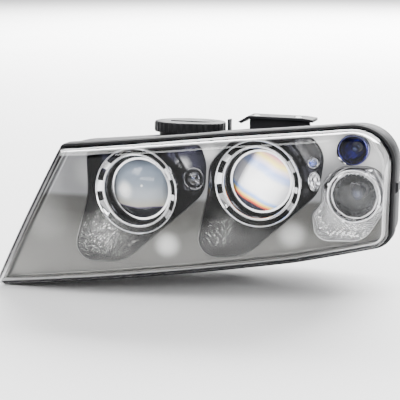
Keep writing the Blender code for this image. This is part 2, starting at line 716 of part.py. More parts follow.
def make_carrier():
    """The casting that both projectors bolt to, hung on the pivot cross."""
    half = FLANGE_R + 0.003
    low_y, high_y = plate_y(LOW), plate_y(HIGH)
    inner, outer = LOW.x - half, AIM_BALL.x + LUG_SIZE / 2
    bend = 0.014
    plan = [
        (inner, low_y), (PIVOT.x - bend, low_y), (PIVOT.x + bend, high_y), (outer, high_y),
        (outer, high_y + PLATE_WALL), (PIVOT.x + bend - 0.004, high_y + PLATE_WALL),
        (PIVOT.x - bend - 0.004, low_y + PLATE_WALL), (inner, low_y + PLATE_WALL),
    ]
    bottom, top = LOW.z - FLANGE_R, LOW.z + REFLECTOR_R + 0.004
    carrier = solid("projector_carrier", "cast_alloy", lambda bm: prism(bm, plan, "Z", bottom, top))
    shoulder = Vector((outer, high_y + PLATE_WALL, HIGH.z + REFLECTOR_R + 0.005))
    add(carrier, "add_high_shoulder", lambda bm: brick(
        bm, (PIVOT.x + bend + 0.001, high_y, top - 0.010), shoulder))
    for name, axis in (("low", LOW), ("high", HIGH)):
        front = Vector((axis.x, plate_y(axis) - 0.010, axis.z))
        behind = front + Vector((0, 0.030, 0))
        cut(carrier, f"cut_{name}_port", lambda bm: rod(bm, front, behind, REFLECTOR_R, HIDDEN))
    window = Vector((ARM_WIDTH + 0.013, 0.080, 2 * (CROSS_HALF.z + ARM_WALL) + 0.010))
    cut(carrier, "cut_pivot_window", lambda bm: block(bm, PIVOT, window))
    lug = Vector((0.0075, 0.014, 0.014))
    side = window.x / 2
    ears = ((-1, low_y, PIVOT.y + lug.y / 2), (1, PIVOT.y - lug.y / 2, high_y + PLATE_WALL))
    for hand, start, end in ears:
        x = sorted((PIVOT.x + hand * side, PIVOT.x + hand * (side + lug.x)))
        add(carrier, f"add_ear_{'left' if hand < 0 else 'right'}", lambda bm: brick(
            bm, (x[0], start, PIVOT.z - lug.z / 2), (x[1], end, PIVOT.z + lug.z / 2)))
    size = LUG_SIZE
    add(carrier, "add_level_lug", lambda bm: brick(
        bm, (LEVEL_BALL.x - size / 2, PIVOT.y - size / 2, LEVEL_BALL.z - size / 2),
        (LEVEL_BALL.x + size / 2, PIVOT.y + size / 2, bottom + 0.004)))
    add(carrier, "add_aim_lug", lambda bm: brick(
        bm, (AIM_BALL.x - size / 2, AIM_BALL.y - size / 2, AIM_BALL.z - size / 2),
        (AIM_BALL.x + size / 2, high_y + PLATE_WALL / 2, AIM_BALL.z + size / 2)))
    across = Vector((side + lug.x + 0.002, 0, 0))
    cut(carrier, "cut_pivot_bore", lambda bm: rod(bm, PIVOT - across, PIVOT + across, PIN_R + PIN_CLEARANCE))
    along = Vector((0, high_y - low_y + PLATE_WALL, 0))
    for name, ball in (("level", LEVEL_BALL), ("aim", AIM_BALL)):
        cut(carrier, f"cut_{name}_socket", lambda bm: rod(
            bm, ball - along, ball + along, BALL_R + 0.0005, SMALL))


def make_pivot():
    """A cross that turns on upright pins in its bracket and carries the casting on level pins."""
    half = CROSS_HALF
    inside = half.z - GAP
    gap_x = (ARM_WIDTH + 0.013) / 2

    middle = 2 * Vector((half.x, half.y, inside))
    cross = solid("pivot_cross", "zinc_steel", lambda bm: block(bm, PIVOT, middle), origin=PIVOT)
    upright = Vector((0, 0, half.z + ARM_WALL))
    level_pin = Vector((gap_x + 0.0070, 0, 0))
    add(cross, "add_upright_pins", lambda bm: rod(bm, PIVOT - upright, PIVOT + upright, PIN_R))
    add(cross, "add_level_pins", lambda bm: rod(bm, PIVOT - level_pin, PIVOT + level_pin, PIN_R))
    arm, wall, fork = half.z, ARM_WALL, 0.008
    z = PIVOT.z
    root = PIVOT.y + half.y + 0.014
    foot = REAR_Y - HOUSING_WALL - GAP
    outline = [
        (PIVOT.y - fork, z - arm - wall), (root + wall, z - arm - wall), (root + wall, z - wall),
        (foot, z - wall), (foot, z + wall), (root + wall, z + wall), (root + wall, z + arm + wall),
        (PIVOT.y - fork, z + arm + wall), (PIVOT.y - fork, z + arm), (root, z + arm), (root, z - arm),
        (PIVOT.y - fork, z - arm),
    ]
    bracket = solid("pivot_bracket", "natural_nylon", lambda bm: prism(
        bm, outline, "X", PIVOT.x - ARM_WIDTH / 2, PIVOT.x + ARM_WIDTH / 2))
    reach = upright + Vector((0, 0, 0.002))
    cut(bracket, "cut_upright_bores", lambda bm: rod(
        bm, PIVOT - reach, PIVOT + reach, PIN_R + PIN_CLEARANCE))


def ball_rod(bm, ball, end):
    """A round rod from end to a ball on its tip."""
    steps = 6
    start = math.asin(ROD_R / BALL_R)
    sphere = [
        (BALL_R * math.sin(a), -BALL_R * math.cos(a))
        for a in (math.pi * k / steps * (1 - start / math.pi) for k in range(steps + 1))
    ]
    sphere[0] = (0, -BALL_R)
    length = end - ball.y
    turned(bm, sphere + [(ROD_R, length), (0, length)], ball, segments=SMALL)


def make_levelling():
    motor = Vector((0.044, 0.050, 0.028))
    back = REAR_Y - HOUSING_WALL - GAP
    centre = Vector((LEVEL_BALL.x, back - motor.y / 2, LEVEL_BALL.z + 0.0068))
    body = solid("levelling_motor", "connector_plastic", lambda bm: block(bm, centre, motor))
    front = back - motor.y
    nose = Vector((0, 0.012, 0))
    start = Vector((LEVEL_BALL.x, front, LEVEL_BALL.z))
    add(body, "add_motor_nose", lambda bm: rod(bm, start - nose, start + nose / 2, 0.008, HIDDEN))
    cut(body, "cut_motor_bore", lambda bm: rod(
        bm, start - 2 * nose, start + 2.4 * nose, ROD_R + PIN_CLEARANCE))
    end = front + 0.020
    solid("levelling_rod", "zinc_steel", lambda bm: ball_rod(bm, LEVEL_BALL, end), origin=LEVEL_BALL)


def make_aiming():
    knob_front, knob_length = REAR_Y + GAP, 0.011
    tip = REAR_Y + knob_length - 0.001
    solid("aim_spindle", "zinc_steel", lambda bm: ball_rod(bm, AIM_BALL, tip), origin=AIM_BALL)
    centre = Vector((AIM_BALL.x, knob_front, AIM_BALL.z))
    bore = ROD_R + PIN_CLEARANCE
    profile = [
        (bore, 0), (0.0110, 0), (0.0110, 0.003), (0.0085, 0.0045), (0.0085, knob_length), (bore, knob_length),
    ]
    knob = solid("aim_knob", "natural_nylon", lambda bm: turned(
        bm, profile, centre, segments=HIDDEN), origin=centre)

    def flutes(bm):
        for k in range(6):
            angle = math.radians(60 * k)
            edge = centre + Vector((math.cos(angle) * 0.0100, 0.005, math.sin(angle) * 0.0100))
            rod(bm, edge, edge + Vector((0, knob_length, 0)), 0.0026, 10)

    cut(knob, "cut_knob_flutes", flutes)


# ---------------------------------------------------------------- small lamps

def make_turn_lamp():
    ring = [
        (TURN_BORE_R, 0.0012), (TURN_BORE_R + 0.0010, 0), (TURN_RING_R - 0.0010, 0), (TURN_RING_R, 0.0012),
        (TURN_RING_R, TURN_DEPTH - GAP), (TURN_BORE_R, TURN_DEPTH - GAP),
    ]
    solid("turn_ring", "chrome", lambda bm: turned(bm, ring, TURN, segments=SHOWN))
    r = TURN_BORE_R - 0.0004
    lens = [
        (0, 0.0012), (r * 0.5, 0.0018), (r * 0.85, 0.0030), (r, 0.0044), (r, 0.0066), (r * 0.8, 0.0056),
        (r * 0.5, 0.0040), (0, 0.0034),
    ]
    solid("turn_inner_lens", "clear_lens", lambda bm: turned(bm, lens, TURN, segments=SHOWN))
    cup, neck, depth = TURN_BORE_R - 0.0012, 0.0095, 0.042
    wall = REFLECTOR_WALL
    bowl = [
        (cup - wall, 0.0075), (cup - wall, 0.014), (cup * 0.82, 0.026), (cup * 0.58, 0.036), (neck, depth),
        (neck + wall, depth), (cup * 0.62 + wall, 0.0365), (cup * 0.86 + wall, 0.0270), (cup, 0.0200),
        (cup, 0.0075),
    ]
    solid("turn_reflector", "chrome", lambda bm: turned(bm, bowl, TURN, segments=HIDDEN))
    make_twist_lamp("turn", TURN, neck, depth, 0.0075, 0.016, 0.014)


def make_twist_lamp(name, axis, neck, depth, bulb_r, bulb_front, grip_r):
    """A capless bulb in a bayonet holder that turns in the reflector's neck."""
    stem = neck - 0.0015
    bulb = [
        (0, bulb_front), (bulb_r * 0.6, bulb_front + 0.0012), (bulb_r, bulb_front + bulb_r * 0.8),
        (bulb_r, depth - 0.010), (stem * 0.8, depth - 0.006), (stem * 0.8, depth - GAP), (0, depth - GAP),
    ]
    solid(f"{name}_bulb", "bulb_glass", lambda bm: turned(bm, bulb, axis, segments=HIDDEN))
    start = axis + Vector((0, depth, 0))
    holder = [
        (0, 0), (stem, 0), (stem, GAP), (grip_r, GAP), (grip_r, 0.004), (stem, 0.005), (stem, 0.014),
        (0, 0.014),
    ]
    socket = solid(f"{name}_bulb_holder", "connector_plastic", lambda bm: turned(
        bm, holder, start, segments=HIDDEN), origin=start)
    grip = start + Vector((0, 0.011, 0))
    add(socket, f"add_{name}_grip", lambda bm: block(bm, grip, (2.0 * grip_r * 0.9, 0.012, 0.0035)))


def make_position_lamp():
    wall, depth, neck = 0.0020, 0.026, 0.0062
    r = POSITION_R
    cup = [
        (r - wall, 0.0010), (r - wall / 2, 0), (r, 0.0010), (r, 0.0140), (r * 0.86, 0.0200),
        (neck + wall, depth), (neck, depth), (r * 0.72, 0.0190), (r - wall - 0.0004, 0.0125),
    ]
    solid("position_reflector", "chrome", lambda bm: turned(bm, cup, POSITION, segments=SHOWN))
    make_twist_lamp("position", POSITION, neck, depth, 0.0042, 0.008, 0.010)


def make_pocket_lamps():
    """The marker lamp beside the low beam, and the oval reflector and pilot beside the high beam."""
    r = MARKER_R
    cup = [
        (0, 0.0125), (r * 0.5, 0.0125), (r + 0.0004, 0.007), (r + 0.0004, 0), (r + 0.0018, 0),
        (r + 0.0018, 0.008), (r * 0.6, 0.014), (0, 0.014),
    ]
    solid("marker_reflector", "chrome", lambda bm: turned(bm, cup, MARKER, segments=HIDDEN))
    steps = 4
    arc = [math.pi / 2 * k / steps for k in range(steps + 1)]
    base, wall, tall = 0.002, 0.001, 0.95 * r
    dome = [(r * math.sin(a), base - tall * math.cos(a)) for a in arc]
    inner = [((r - wall) * math.sin(a), base - (tall - wall) * math.cos(a)) for a in arc]
    solid("marker_dome", "optical_glass", lambda bm: turned(bm, dome + inner[::-1], MARKER, segments=HIDDEN))
    bulb = [(0, -0.004), (0.002, -0.0035), (0.0032, -0.001), (0.0032, 0.008), (0.0024, 0.0122), (0, 0.0122)]
    solid("marker_bulb", "bulb_glass", lambda bm: turned(bm, bulb, MARKER, segments=SMALL))
    r = SIDE_R
    dish = [
        (0, 0.0085), (r * 0.55, 0.0068), (r - 0.0010, 0.0005), (r - 0.0004, -0.0005), (r, 0.0005),
        (r, 0.0065), (r * 0.6, 0.0100), (0, 0.0100),
    ]
    solid("side_reflector", "chrome", lambda bm: turned(
        bm, dish, SIDE, segments=HIDDEN, stretch=SIDE_STRETCH), smooth=10)
    r = PILOT_R
    ring = [
        (0, 0.0085), (r - 0.0022, 0.0070), (r - 0.0014, -0.0010), (r - 0.0006, -0.0020), (r, -0.0010),
        (r, 0.0065), (r * 0.6, 0.0100), (0, 0.0100),
    ]
    solid("pilot_reflector", "chrome", lambda bm: turned(bm, ring, PILOT, segments=HIDDEN))
    bulb = [(0, -0.0010), (0.0022, 0.0002), (0.0028, 0.0025), (0.0024, 0.0066), (0, 0.0066)]
    solid("pilot_bulb", "bulb_glass", lambda bm: turned(bm, bulb, PILOT, segments=SMALL))


# ---------------------------------------------------------------- caps, bracket and electrics

def make_caps():
    inner, outer = CAP_HOLE_R + 0.0005, CAP_BOSS_R - 0.0005
    seal = [(inner, GAP), (outer, GAP), (outer, GAP + CAP_SEAL), (inner, GAP + CAP_SEAL)]
    under = 2 * GAP + CAP_SEAL
    bore = CAP_BOSS_R + 0.0007
    cap = [
        (0, CAP_TOP), (CAP_R - 0.0025, CAP_TOP), (CAP_R - 0.0007, CAP_TOP - 0.0006),
        (CAP_R, CAP_TOP - 0.0022), (CAP_R, CAP_LOWEST), (bore, CAP_LOWEST), (bore, under), (0, under),
    ]
    for name, place, direction in (("top", TOP_CAP, cap_direction()), ("rear", REAR_CAP, Vector((0, 1, 0)))):
        solid(f"{name}_cap_seal", "seal_rubber", lambda bm: turned(bm, seal, place, direction), origin=place)
        solid(f"{name}_cap", "housing_plastic", lambda bm: turned(
            bm, cap, place, direction, SHOWN), origin=place)


def make_bracket():
    half, top = BRACKET_LENGTH / 2, BRACKET.z
    wall = BRACKET_WALL
    bend = 0.0125
    outline = [
        (BRACKET.x - half, top - 0.0075), (BRACKET.x - half + bend, top), (BRACKET.x + half - bend, top),
        (BRACKET.x + half, top - 0.0015), (BRACKET.x + half, top - 0.0015 - wall),
        (BRACKET.x + half - bend, top - wall), (BRACKET.x - half + bend + 0.0010, top - wall),
        (BRACKET.x - half + 0.0040, top - 0.0095),
    ]
    front, back = BRACKET.y - BRACKET_DEPTH / 2, BRACKET.y + BRACKET_DEPTH / 2
    plate = solid("top_bracket", "housing_plastic", lambda bm: prism(bm, outline, "Y", front, back))

    sunk, head_r = 0.0022, 0.0045
    well = [(0, 0), (head_r + 2 * GAP, 0), (head_r + 2 * GAP, 2 * sunk), (0, 2 * sunk)]
    head = [(0, GAP), (head_r, GAP), (head_r, sunk - 2 * GAP), (head_r * 0.8, sunk - GAP), (0, sunk - GAP)]
    for k, x in enumerate(bracket_posts(), 1):
        seat = Vector((x, BRACKET.y, top - sunk))
        cut(plate, f"cut_screw_well_{k}", lambda bm: turned(bm, well, seat, (0, 0, 1)))
        solid(f"bracket_screw_{k}", "zinc_steel", lambda bm: turned(bm, head, seat, (0, 0, 1)))


def make_electrics():
    face = REAR_Y + GAP
    case = Vector((0.096, 0.022, 0.044))
    middle = Vector((station(0.7253), face + case.y / 2, level(0.3956)))
    solid("xenon_ballast", "alloy_case", lambda bm: block(bm, middle, case))

    head = [(0, 0), (0.0040, 0), (0.0040, 0.0020), (0, 0.0024)]
    corners = [(x, z) for z in (-0.38, 0.38) for x in (-0.42, 0.42)]
    for k, (x, z) in enumerate(corners, 1):
        seat = Vector((middle.x + x * case.x, face + case.y + GAP, middle.z + z * case.z))
        solid(f"ballast_screw_{k}", "zinc_steel", lambda bm: turned(bm, head, seat, segments=SMALL))
    size, wall = Vector((0.030, 0.020, 0.022)), 0.002
    plug = Vector((station(0.892), face + size.y / 2, level(0.4816)))
    socket = solid("main_connector", "connector_plastic", lambda bm: block(bm, plug, size))
    hollow = size - Vector((2 * wall, 0, 2 * wall))
    cut(socket, "cut_connector_mouth", lambda bm: block(bm, plug + Vector((0, 0.005, 0)), hollow))
    vent = Vector((station(0.892), face, level(0.66)))
    profile = [(0, 0), (0.0070, 0), (0.0070, 0.0050), (0.0055, 0.0065), (0, 0.0065)]
    solid("vent_cap", "seal_rubber", lambda bm: turned(bm, profile, vent, segments=HIDDEN))


def main():
    for obj in list(bpy.data.objects):
        bpy.data.objects.remove(obj, do_unlink=True)
    make_housing()
    make_lens_and_seal()
    make_bezel()
    make_pockets()
    make_ring("low_beam_ring", LOW)
    make_ring("high_beam_ring", HIGH)
    make_projector("low", LOW)
    neck = make_projector("high", HIGH)
    make_bulbs(neck)
    make_shutter()
    make_carrier()
    make_pivot()
    make_levelling()
    make_aiming()
    make_turn_lamp()
    make_position_lamp()
    make_pocket_lamps()
    make_caps()
    make_bracket()
    make_electrics()


main()
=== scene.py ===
"""Looks of the left-hand car headlight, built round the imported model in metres."""

import math

import bmesh
import bpy
from mathutils import Matrix, Vector


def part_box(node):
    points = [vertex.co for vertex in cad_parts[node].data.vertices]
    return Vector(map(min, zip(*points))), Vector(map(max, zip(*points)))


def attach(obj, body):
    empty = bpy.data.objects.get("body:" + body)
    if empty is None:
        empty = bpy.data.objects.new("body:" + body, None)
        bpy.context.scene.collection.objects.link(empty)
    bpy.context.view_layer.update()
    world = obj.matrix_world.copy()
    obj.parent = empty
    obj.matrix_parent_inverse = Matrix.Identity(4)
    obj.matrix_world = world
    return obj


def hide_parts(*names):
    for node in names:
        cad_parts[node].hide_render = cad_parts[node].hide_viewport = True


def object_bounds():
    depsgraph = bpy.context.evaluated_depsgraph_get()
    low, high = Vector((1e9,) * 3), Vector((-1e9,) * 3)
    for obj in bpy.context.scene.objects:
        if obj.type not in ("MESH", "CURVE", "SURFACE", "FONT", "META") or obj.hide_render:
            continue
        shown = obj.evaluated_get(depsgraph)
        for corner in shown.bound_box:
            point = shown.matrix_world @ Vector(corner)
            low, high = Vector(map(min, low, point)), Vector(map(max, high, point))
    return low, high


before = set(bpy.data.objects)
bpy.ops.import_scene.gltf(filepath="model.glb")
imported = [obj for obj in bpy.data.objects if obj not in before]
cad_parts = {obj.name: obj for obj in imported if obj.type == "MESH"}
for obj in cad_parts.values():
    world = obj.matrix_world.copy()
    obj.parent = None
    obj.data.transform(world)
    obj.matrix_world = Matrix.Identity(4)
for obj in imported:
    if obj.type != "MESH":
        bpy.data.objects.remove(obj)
CAD_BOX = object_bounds()
CASE = "lamp_case"

# The lens's outline and sheet, as the CAD has them
LENS_LENGTH, LENS_HEIGHT = 0.455, 0.2035
INNER_END_X, LOWEST_Z, FRONT_Y = -0.255, -0.0225, -0.170
SWEEP_RADIUS, SWEEP_START = 1.0, 0.040
RAKE = math.tan(math.radians(8.0))
CROWN_RADIUS, CROWN_SHARE = 0.9, 0.602
GAP, SEAT_GAP = 0.0003, 0.0004
LENS_WALL, LENS_SKIRT = 0.0025, 0.033
SEAL_INSET, SEAL_WIDTH, SEAL_FRONT = 0.0005, 0.003, 0.0182
LEDGE_INSET, RIM_SETBACK, RIM_DEPTH, HOUSING_WALL = 0.0085, 0.022, 0.015, 0.003
BEZEL_SETBACK, BEZEL_WALL, BEZEL_LIP, POCKET_WALL = 0.028, 0.002, 0.008, 0.0014
LAMP_CORNERS = (
    (0.1846, 0.8452, 0.005, 2, 4),
    (0.0, 0.0, 0.009, 4, 5),
    (0.7802, 0.2310, 0.300, 2, 2),
    (0.9989, 0.3219, 0.020, 3, 2),
    (0.9956, 1.0, 0.048, 6, 3),
    (0.6044, 0.9351, 0.500, 2, 3),
)
REAR_CORNERS = (
    (0.230, 0.660, 0.020, 2, 4),
    (0.170, 0.200, 0.020, 4, 5),
    (0.780, 0.245, 0.300, 2, 2),
    (0.956, 0.340, 0.020, 3, 2),
    (0.950, 0.830, 0.030, 6, 3),
    (0.610, 0.748, 0.500, 2, 3),
)
LOW_POCKET = (
    (-0.062, 0.0448, 0.008, 2, 2),
    (-0.057, -0.006, 0.060, 2, 2),
    (-0.077, -0.084, 0.022, 5, 1),
    (-0.012, -0.083, 0.045, 3, 3),
    (0.0785, 0.000, 0.030, 3, 2),
    (0.0785, 0.034, 0.040, 2, 1),
    (0.0700, 0.0545, 0.010, 2, 4),
)
HIGH_POCKET = (
    (-0.030, 0.0478, 0.010, 2, 1),
    (-0.0534, 0.022, 0.030, 2, 2),
    (-0.0532, -0.012, 0.080, 1, 2),
    (-0.067, -0.085, 0.022, 5, 1),
    (-0.010, -0.083, 0.045, 3, 3),
    (0.0665, -0.010, 0.030, 3, 1),
    (0.0705, 0.034, 0.030, 2, 1),
    (0.056, 0.0520, 0.008, 2, 3),
)
TURN_POCKET = (
    (-0.0335, 0.016, 0.018, 2, 1),
    (-0.0335, -0.006, 0.012, 1, 1),
    (-0.043, -0.020, 0.012, 2, 1),
    (-0.038, -0.050, 0.018, 4, 1),
    (0.014, -0.051, 0.024, 3, 1),
    (0.0335, -0.018, 0.024, 3, 1),
    (0.0335, 0.024, 0.024, 3, 1),
    (0.016, 0.0335, 0.020, 2, 2),
    (-0.018, 0.0335, 0.020, 2, 1),
)
GLASS_R, GLASS_CLEAR_R, GLASS_BEHIND_RING, GLASS_EDGE = 0.035, 0.0333, 0.020, 0.003
PLATE_BEHIND_RING, HOLDER_WALL, RING_DEPTH = 0.065, 0.0016, 0.0235
WINDOW_R = (0.0426, 0.0481)
MARKER_R, SIDE_R, SIDE_STRETCH, PILOT_R, POSITION_R = 0.011, 0.0072, 1.6, 0.0063, 0.0172
TURN_BORE_R, TURN_RING_R = 0.028, 0.031
SHARP_ANGLE, WELD_REACH = math.radians(38), 0.00002
RING_WINDOWS = ((38, 137), (149, 168), (184, 198), (220, 322), (335, 350), (358, 380))
FINE = 5


def middle_of(node, ahead=0.0):
    """The point on a node's axis along Y, that far behind its front."""
    low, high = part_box(node)
    return Vector(((low.x + high.x) / 2, low.y + ahead, (low.z + high.z) / 2))


LOW = middle_of("low_beam_ring", -0.0003)
HIGH = middle_of("high_beam_ring", -0.0003)
TURN = middle_of("turn_ring")
POSITION = middle_of("position_reflector")
MARKER = middle_of("marker_reflector")
SIDE = middle_of("side_reflector", 0.0005)
PILOT = middle_of("pilot_reflector", 0.0020)


def station(share):
    return INNER_END_X + share * LENS_LENGTH


def level(share):
    return LOWEST_Z + share * LENS_HEIGHT


def sheet_y(x, z, back=0.0):
    """Y of the surface that far behind the lens's front face."""
    across = x - INNER_END_X - SWEEP_START
    rise = z - level(CROWN_SHARE)
    sweep = SWEEP_RADIUS - math.sqrt(SWEEP_RADIUS**2 - across**2)
    return FRONT_Y + sweep + rise * RAKE + rise**2 / (2 * CROWN_RADIUS) + back


def rounded(corners, inset=0.0, fine=FINE):
    """(x, z) points of an anticlockwise polygon with filleted corners, moved inwards by inset."""
    points = [Vector(corner[:2]) for corner in corners]
    count = len(points)
    sides = [(points[(i + 1) % count] - points[i]).normalized() for i in range(count)]
    arcs = []
    for i, (_, _, radius, steps, _) in enumerate(corners):
        before, after = sides[i - 1], sides[i]
        turn = math.atan2(before.x * after.y - before.y * after.x, before.dot(after))
        inwards = Vector((-before.y, before.x)) + Vector((-after.y, after.x))
        inwards /= 1 + before.dot(after)
        side = math.copysign(1.0, turn)
        fillet = max(radius - side * inset, 0.0006)
        centre = points[i] + inwards * inset + inwards * fillet * side
        start = points[i] + inwards * inset - before * fillet * math.tan(abs(turn) / 2) - centre
        steps *= fine
        arcs.append([centre + Matrix.Rotation(turn * k / steps, 2) @ start for k in range(steps + 1)])
    path = []
    for i, arc in enumerate(arcs):
        path += arc
        end, start = arc[-1], arcs[(i + 1) % count][0]
        steps = corners[i][4] * fine
        path += [end.lerp(start, k / steps) for k in range(1, steps)]
    return path


def placed(corners):
    return [(station(x), level(z), *rest) for x, z, *rest in corners]


def around(axis, corners):
    return [(axis.x + x, axis.z + z, *rest) for x, z, *rest in corners]


def on_sheet(outline, back):
    return [Vector((p.x, sheet_y(p.x, p.y, back), p.y)) for p in outline]


def at_y(outline, y):
    return [Vector((p.x, y, p.y)) for p in outline]


LAMP = placed(LAMP_CORNERS)
REAR = placed(REAR_CORNERS)
CAP_LOWEST, CAP_TOP, CAP_R, CAP_BOSS_R, CAP_HOLE_R, BOSS_HEIGHT = -0.0075, 0.005, 0.0425, 0.0365, 0.031, 0.008
REAR_CAP = middle_of("rear_cap", -CAP_LOWEST)
REAR_Y = REAR_CAP.y - BOSS_HEIGHT
TOP_TILT = math.radians(3.5)
TOP_UP = Vector((0, math.sin(TOP_TILT), math.cos(TOP_TILT)))
TOP_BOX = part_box("top_cap")
TOP_CAP = (TOP_BOX[0] + TOP_BOX[1]) / 2 - TOP_UP * (CAP_TOP + CAP_LOWEST) / 2
BRACKET_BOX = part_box("top_bracket")


# ---------------------------------------------------------------- meshes

def curve(points, steps=6):
    """A smooth run through points of any size."""
    run = []
    for i in range(len(points) - 1):
        p0, p1, p2, p3 = (points[min(max(i + k, 0), len(points) - 1)] for k in (-1, 0, 1, 2))
        for k in range(steps):
            t = k / steps
            run.append(tuple(
                b + 0.5 * t * (c - a + t * (2 * a - 5 * b + 4 * c - d + t * (3 * (b - c) + d - a)))
                for a, b, c, d in zip(p0, p1, p2, p3)
            ))
    return run + [tuple(points[-1])]


def skin(bm, loops, ring=False):
    """Faces between loops of points. A loop of one point closes to it."""
    rows = [[bm.verts.new(point) for point in loop] for loop in loops]
    pairs = list(zip(rows, rows[1:])) + ([(rows[-1], rows[0])] if ring else [])
    for first, second in pairs:
        count = max(len(first), len(second))
        for i in range(count):
            j = (i + 1) % count
            if len(first) == 1:
                bm.faces.new((first[0], second[j], second[i]))
            elif len(second) == 1:
                bm.faces.new((first[i], first[j], second[0]))
            else:
                bm.faces.new((first[i], first[j], second[j], second[i]))
    if not ring:
        for row in (rows[0], rows[-1]):
            if len(row) > 1:
                bm.faces.new(row)


def turned(bm, profile, centre, direction=(0, 1, 0), segments=96, stretch=1.0, wave=None):
    """A solid turned about an axis. wave(angle, radius, along) may move a point."""
    turn = Vector((0, 0, 1)).rotation_difference(Vector(direction)).to_matrix()
    loops = []
    for radius, along in profile:
        if radius == 0:
            loops.append([Vector(centre) + turn @ Vector((0, 0, along))])
            continue
        loop = []
        for k in range(segments):
            a = 2 * math.pi * k / segments
            r, deep = wave(a, radius, along) if wave else (radius, along)
            loop.append(Vector(centre) + turn @ Vector((r * math.cos(a), stretch * r * math.sin(a), deep)))
        loops.append(loop)
    skin(bm, loops, ring=profile[0][0] > 0 and profile[-1][0] > 0)


def brick(bm, low, high):
    corners = [Vector((x, y, z)) for z in (low[2], high[2]) for x, y in (
        (low[0], low[1]), (high[0], low[1]), (high[0], high[1]), (low[0], high[1]))]
    skin(bm, [corners[:4], corners[4:]])


def block(bm, centre, size):
    half = Vector(size) / 2
    brick(bm, Vector(centre) - half, Vector(centre) + half)


def prism(bm, outline, axis, low, high):
    def point(u, v, along):
        values = [u, v]
        values.insert("XYZ".index(axis), along)
        return Vector(values)
    skin(bm, [[point(u, v, along) for u, v in outline] for along in (low, high)])


def linked(name, data):
    obj = bpy.data.objects.new(name, data)
    bpy.context.scene.collection.objects.link(obj)
    return obj


def modelled(name, build):
    """An object with the mesh that build makes, its faces pointing out."""
    bm = bmesh.new()
    build(bm)
    bmesh.ops.recalc_face_normals(bm, faces=bm.faces)
    mesh = bpy.data.meshes.new(name)
    bm.to_mesh(mesh)
    bm.free()
    return linked(name, mesh)


def piece(name, build, surface, body=CASE, nodes=(), smooth=38.0, cutters=()):
    """A piece that rides on a body and may stand for CAD nodes."""
    obj = modelled(name, build)
    if cutters:
        carve(obj, cutters)
    obj.data.shade_smooth()
    obj.data.set_sharp_from_angle(angle=math.radians(smooth))
    obj.data.materials.clear()
    obj.data.materials.append(surface)
    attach(obj, body)
    if nodes:
        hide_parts(*nodes)


def carve(obj, cutters):
    """Joins each helper shape to obj or cuts it out, in order."""
    helpers = []
    for operation, build in cutters:
        helper = modelled("helper", build)
        helpers.append(helper)
        change = obj.modifiers.new("carve", "BOOLEAN")
        change.operation = operation
        change.solver = "EXACT"
        change.object = helper
    bpy.context.view_layer.update()
    made = bpy.data.meshes.new_from_object(obj.evaluated_get(bpy.context.evaluated_depsgraph_get()))
    obj.modifiers.clear()
    obj.data = made
    for helper in helpers:
        bpy.data.objects.remove(helper, do_unlink=True)


def dress(node, surface, bevel):
    """A CAD node kept as it is, with softened edges and a better material."""
    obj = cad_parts[node]
    weld = obj.modifiers.new("weld", "WELD")
    weld.merge_threshold = WELD_REACH
    if bevel:
        change = obj.modifiers.new("edges", "BEVEL")
        change.width = bevel
        change.segments = 3
        change.limit_method = "ANGLE"
        change.angle_limit = SHARP_ANGLE
        change.use_clamp_overlap = True
    group = bpy.data.node_groups.get("smooth_by_angle") or smooth_group()
    obj.modifiers.new("smooth", "NODES").node_group = group
    obj.data.materials.clear()
    obj.data.materials.append(surface)


def smooth_group():
    """Smooth shading, with edges over SHARP_ANGLE kept sharp."""
    group = bpy.data.node_groups.new("smooth_by_angle", "GeometryNodeTree")
    group.interface.new_socket("Geometry", in_out="INPUT", socket_type="NodeSocketGeometry")
    group.interface.new_socket("Geometry", in_out="OUTPUT", socket_type="NodeSocketGeometry")
    start = group.nodes.new("NodeGroupInput")
    end = group.nodes.new("NodeGroupOutput")
    faces = group.nodes.new("GeometryNodeSetShadeSmooth")
    edges = group.nodes.new("GeometryNodeSetShadeSmooth")
    edges.domain = "EDGE"
    angle = group.nodes.new("GeometryNodeInputMeshEdgeAngle")
    small = group.nodes.new("FunctionNodeCompare")
    small.operation = "LESS_THAN"
    small.inputs[1].default_value = SHARP_ANGLE
    group.links.new(start.outputs[0], faces.inputs[0])
    group.links.new(faces.outputs[0], edges.inputs[0])
    group.links.new(angle.outputs[0], small.inputs[0])
    group.links.new(small.outputs[0], edges.inputs["Shade Smooth"])
    group.links.new(edges.outputs[0], end.inputs[0])
    return group


# ---------------------------------------------------------------- materials

def fill(tree, node, inputs):
    """Links each socket given, and sets each constant on its own socket."""
    for key, value in inputs.items():
        if isinstance(value, bpy.types.NodeSocket):
            tree.links.new(value, node.inputs[key])
        else:
            node.inputs[key].default_value = value


def add_node(tree, kind, inputs=(), **settings):
    made = tree.nodes.new("ShaderNode" + kind)
    for key, value in settings.items():
        setattr(made, key, value)
    fill(tree, made, dict(inputs))
    return made


def ramp(tree, factor, stops):
    """Colours over a factor from 0 to 1."""
    made = add_node(tree, "ValToRGB", {"Fac": factor})
    elements = made.color_ramp.elements
    while len(elements) < len(stops):
        elements.new(0.5)
    for element, (place, colour) in zip(elements, stops):
        element.position = place
        element.color = (*colour, 1)
    return made.outputs["Color"]


def grain(tree, scale, detail=3.0, stretch=(1, 1, 1)):
    """Noise in metres, finer with scale."""
    place = add_node(tree, "TexCoord").outputs["Object"]
    if stretch != (1, 1, 1):
        place = add_node(tree, "Mapping", {"Vector": place, "Scale": stretch}).outputs["Vector"]
    made = add_node(tree, "TexNoise", {"Vector": place, "Scale": scale, "Detail": detail})
    return made.outputs["Fac"]


def between(tree, factor, low, high):
    return add_node(tree, "MapRange", {"Value": factor, "To Min": low, "To Max": high}).outputs["Result"]


def multiplied(tree, first, second):
    made = add_node(tree, "Mix", {0: 1.0, 6: first, 7: second}, data_type="RGBA", blend_type="MULTIPLY")
    return made.outputs[2]


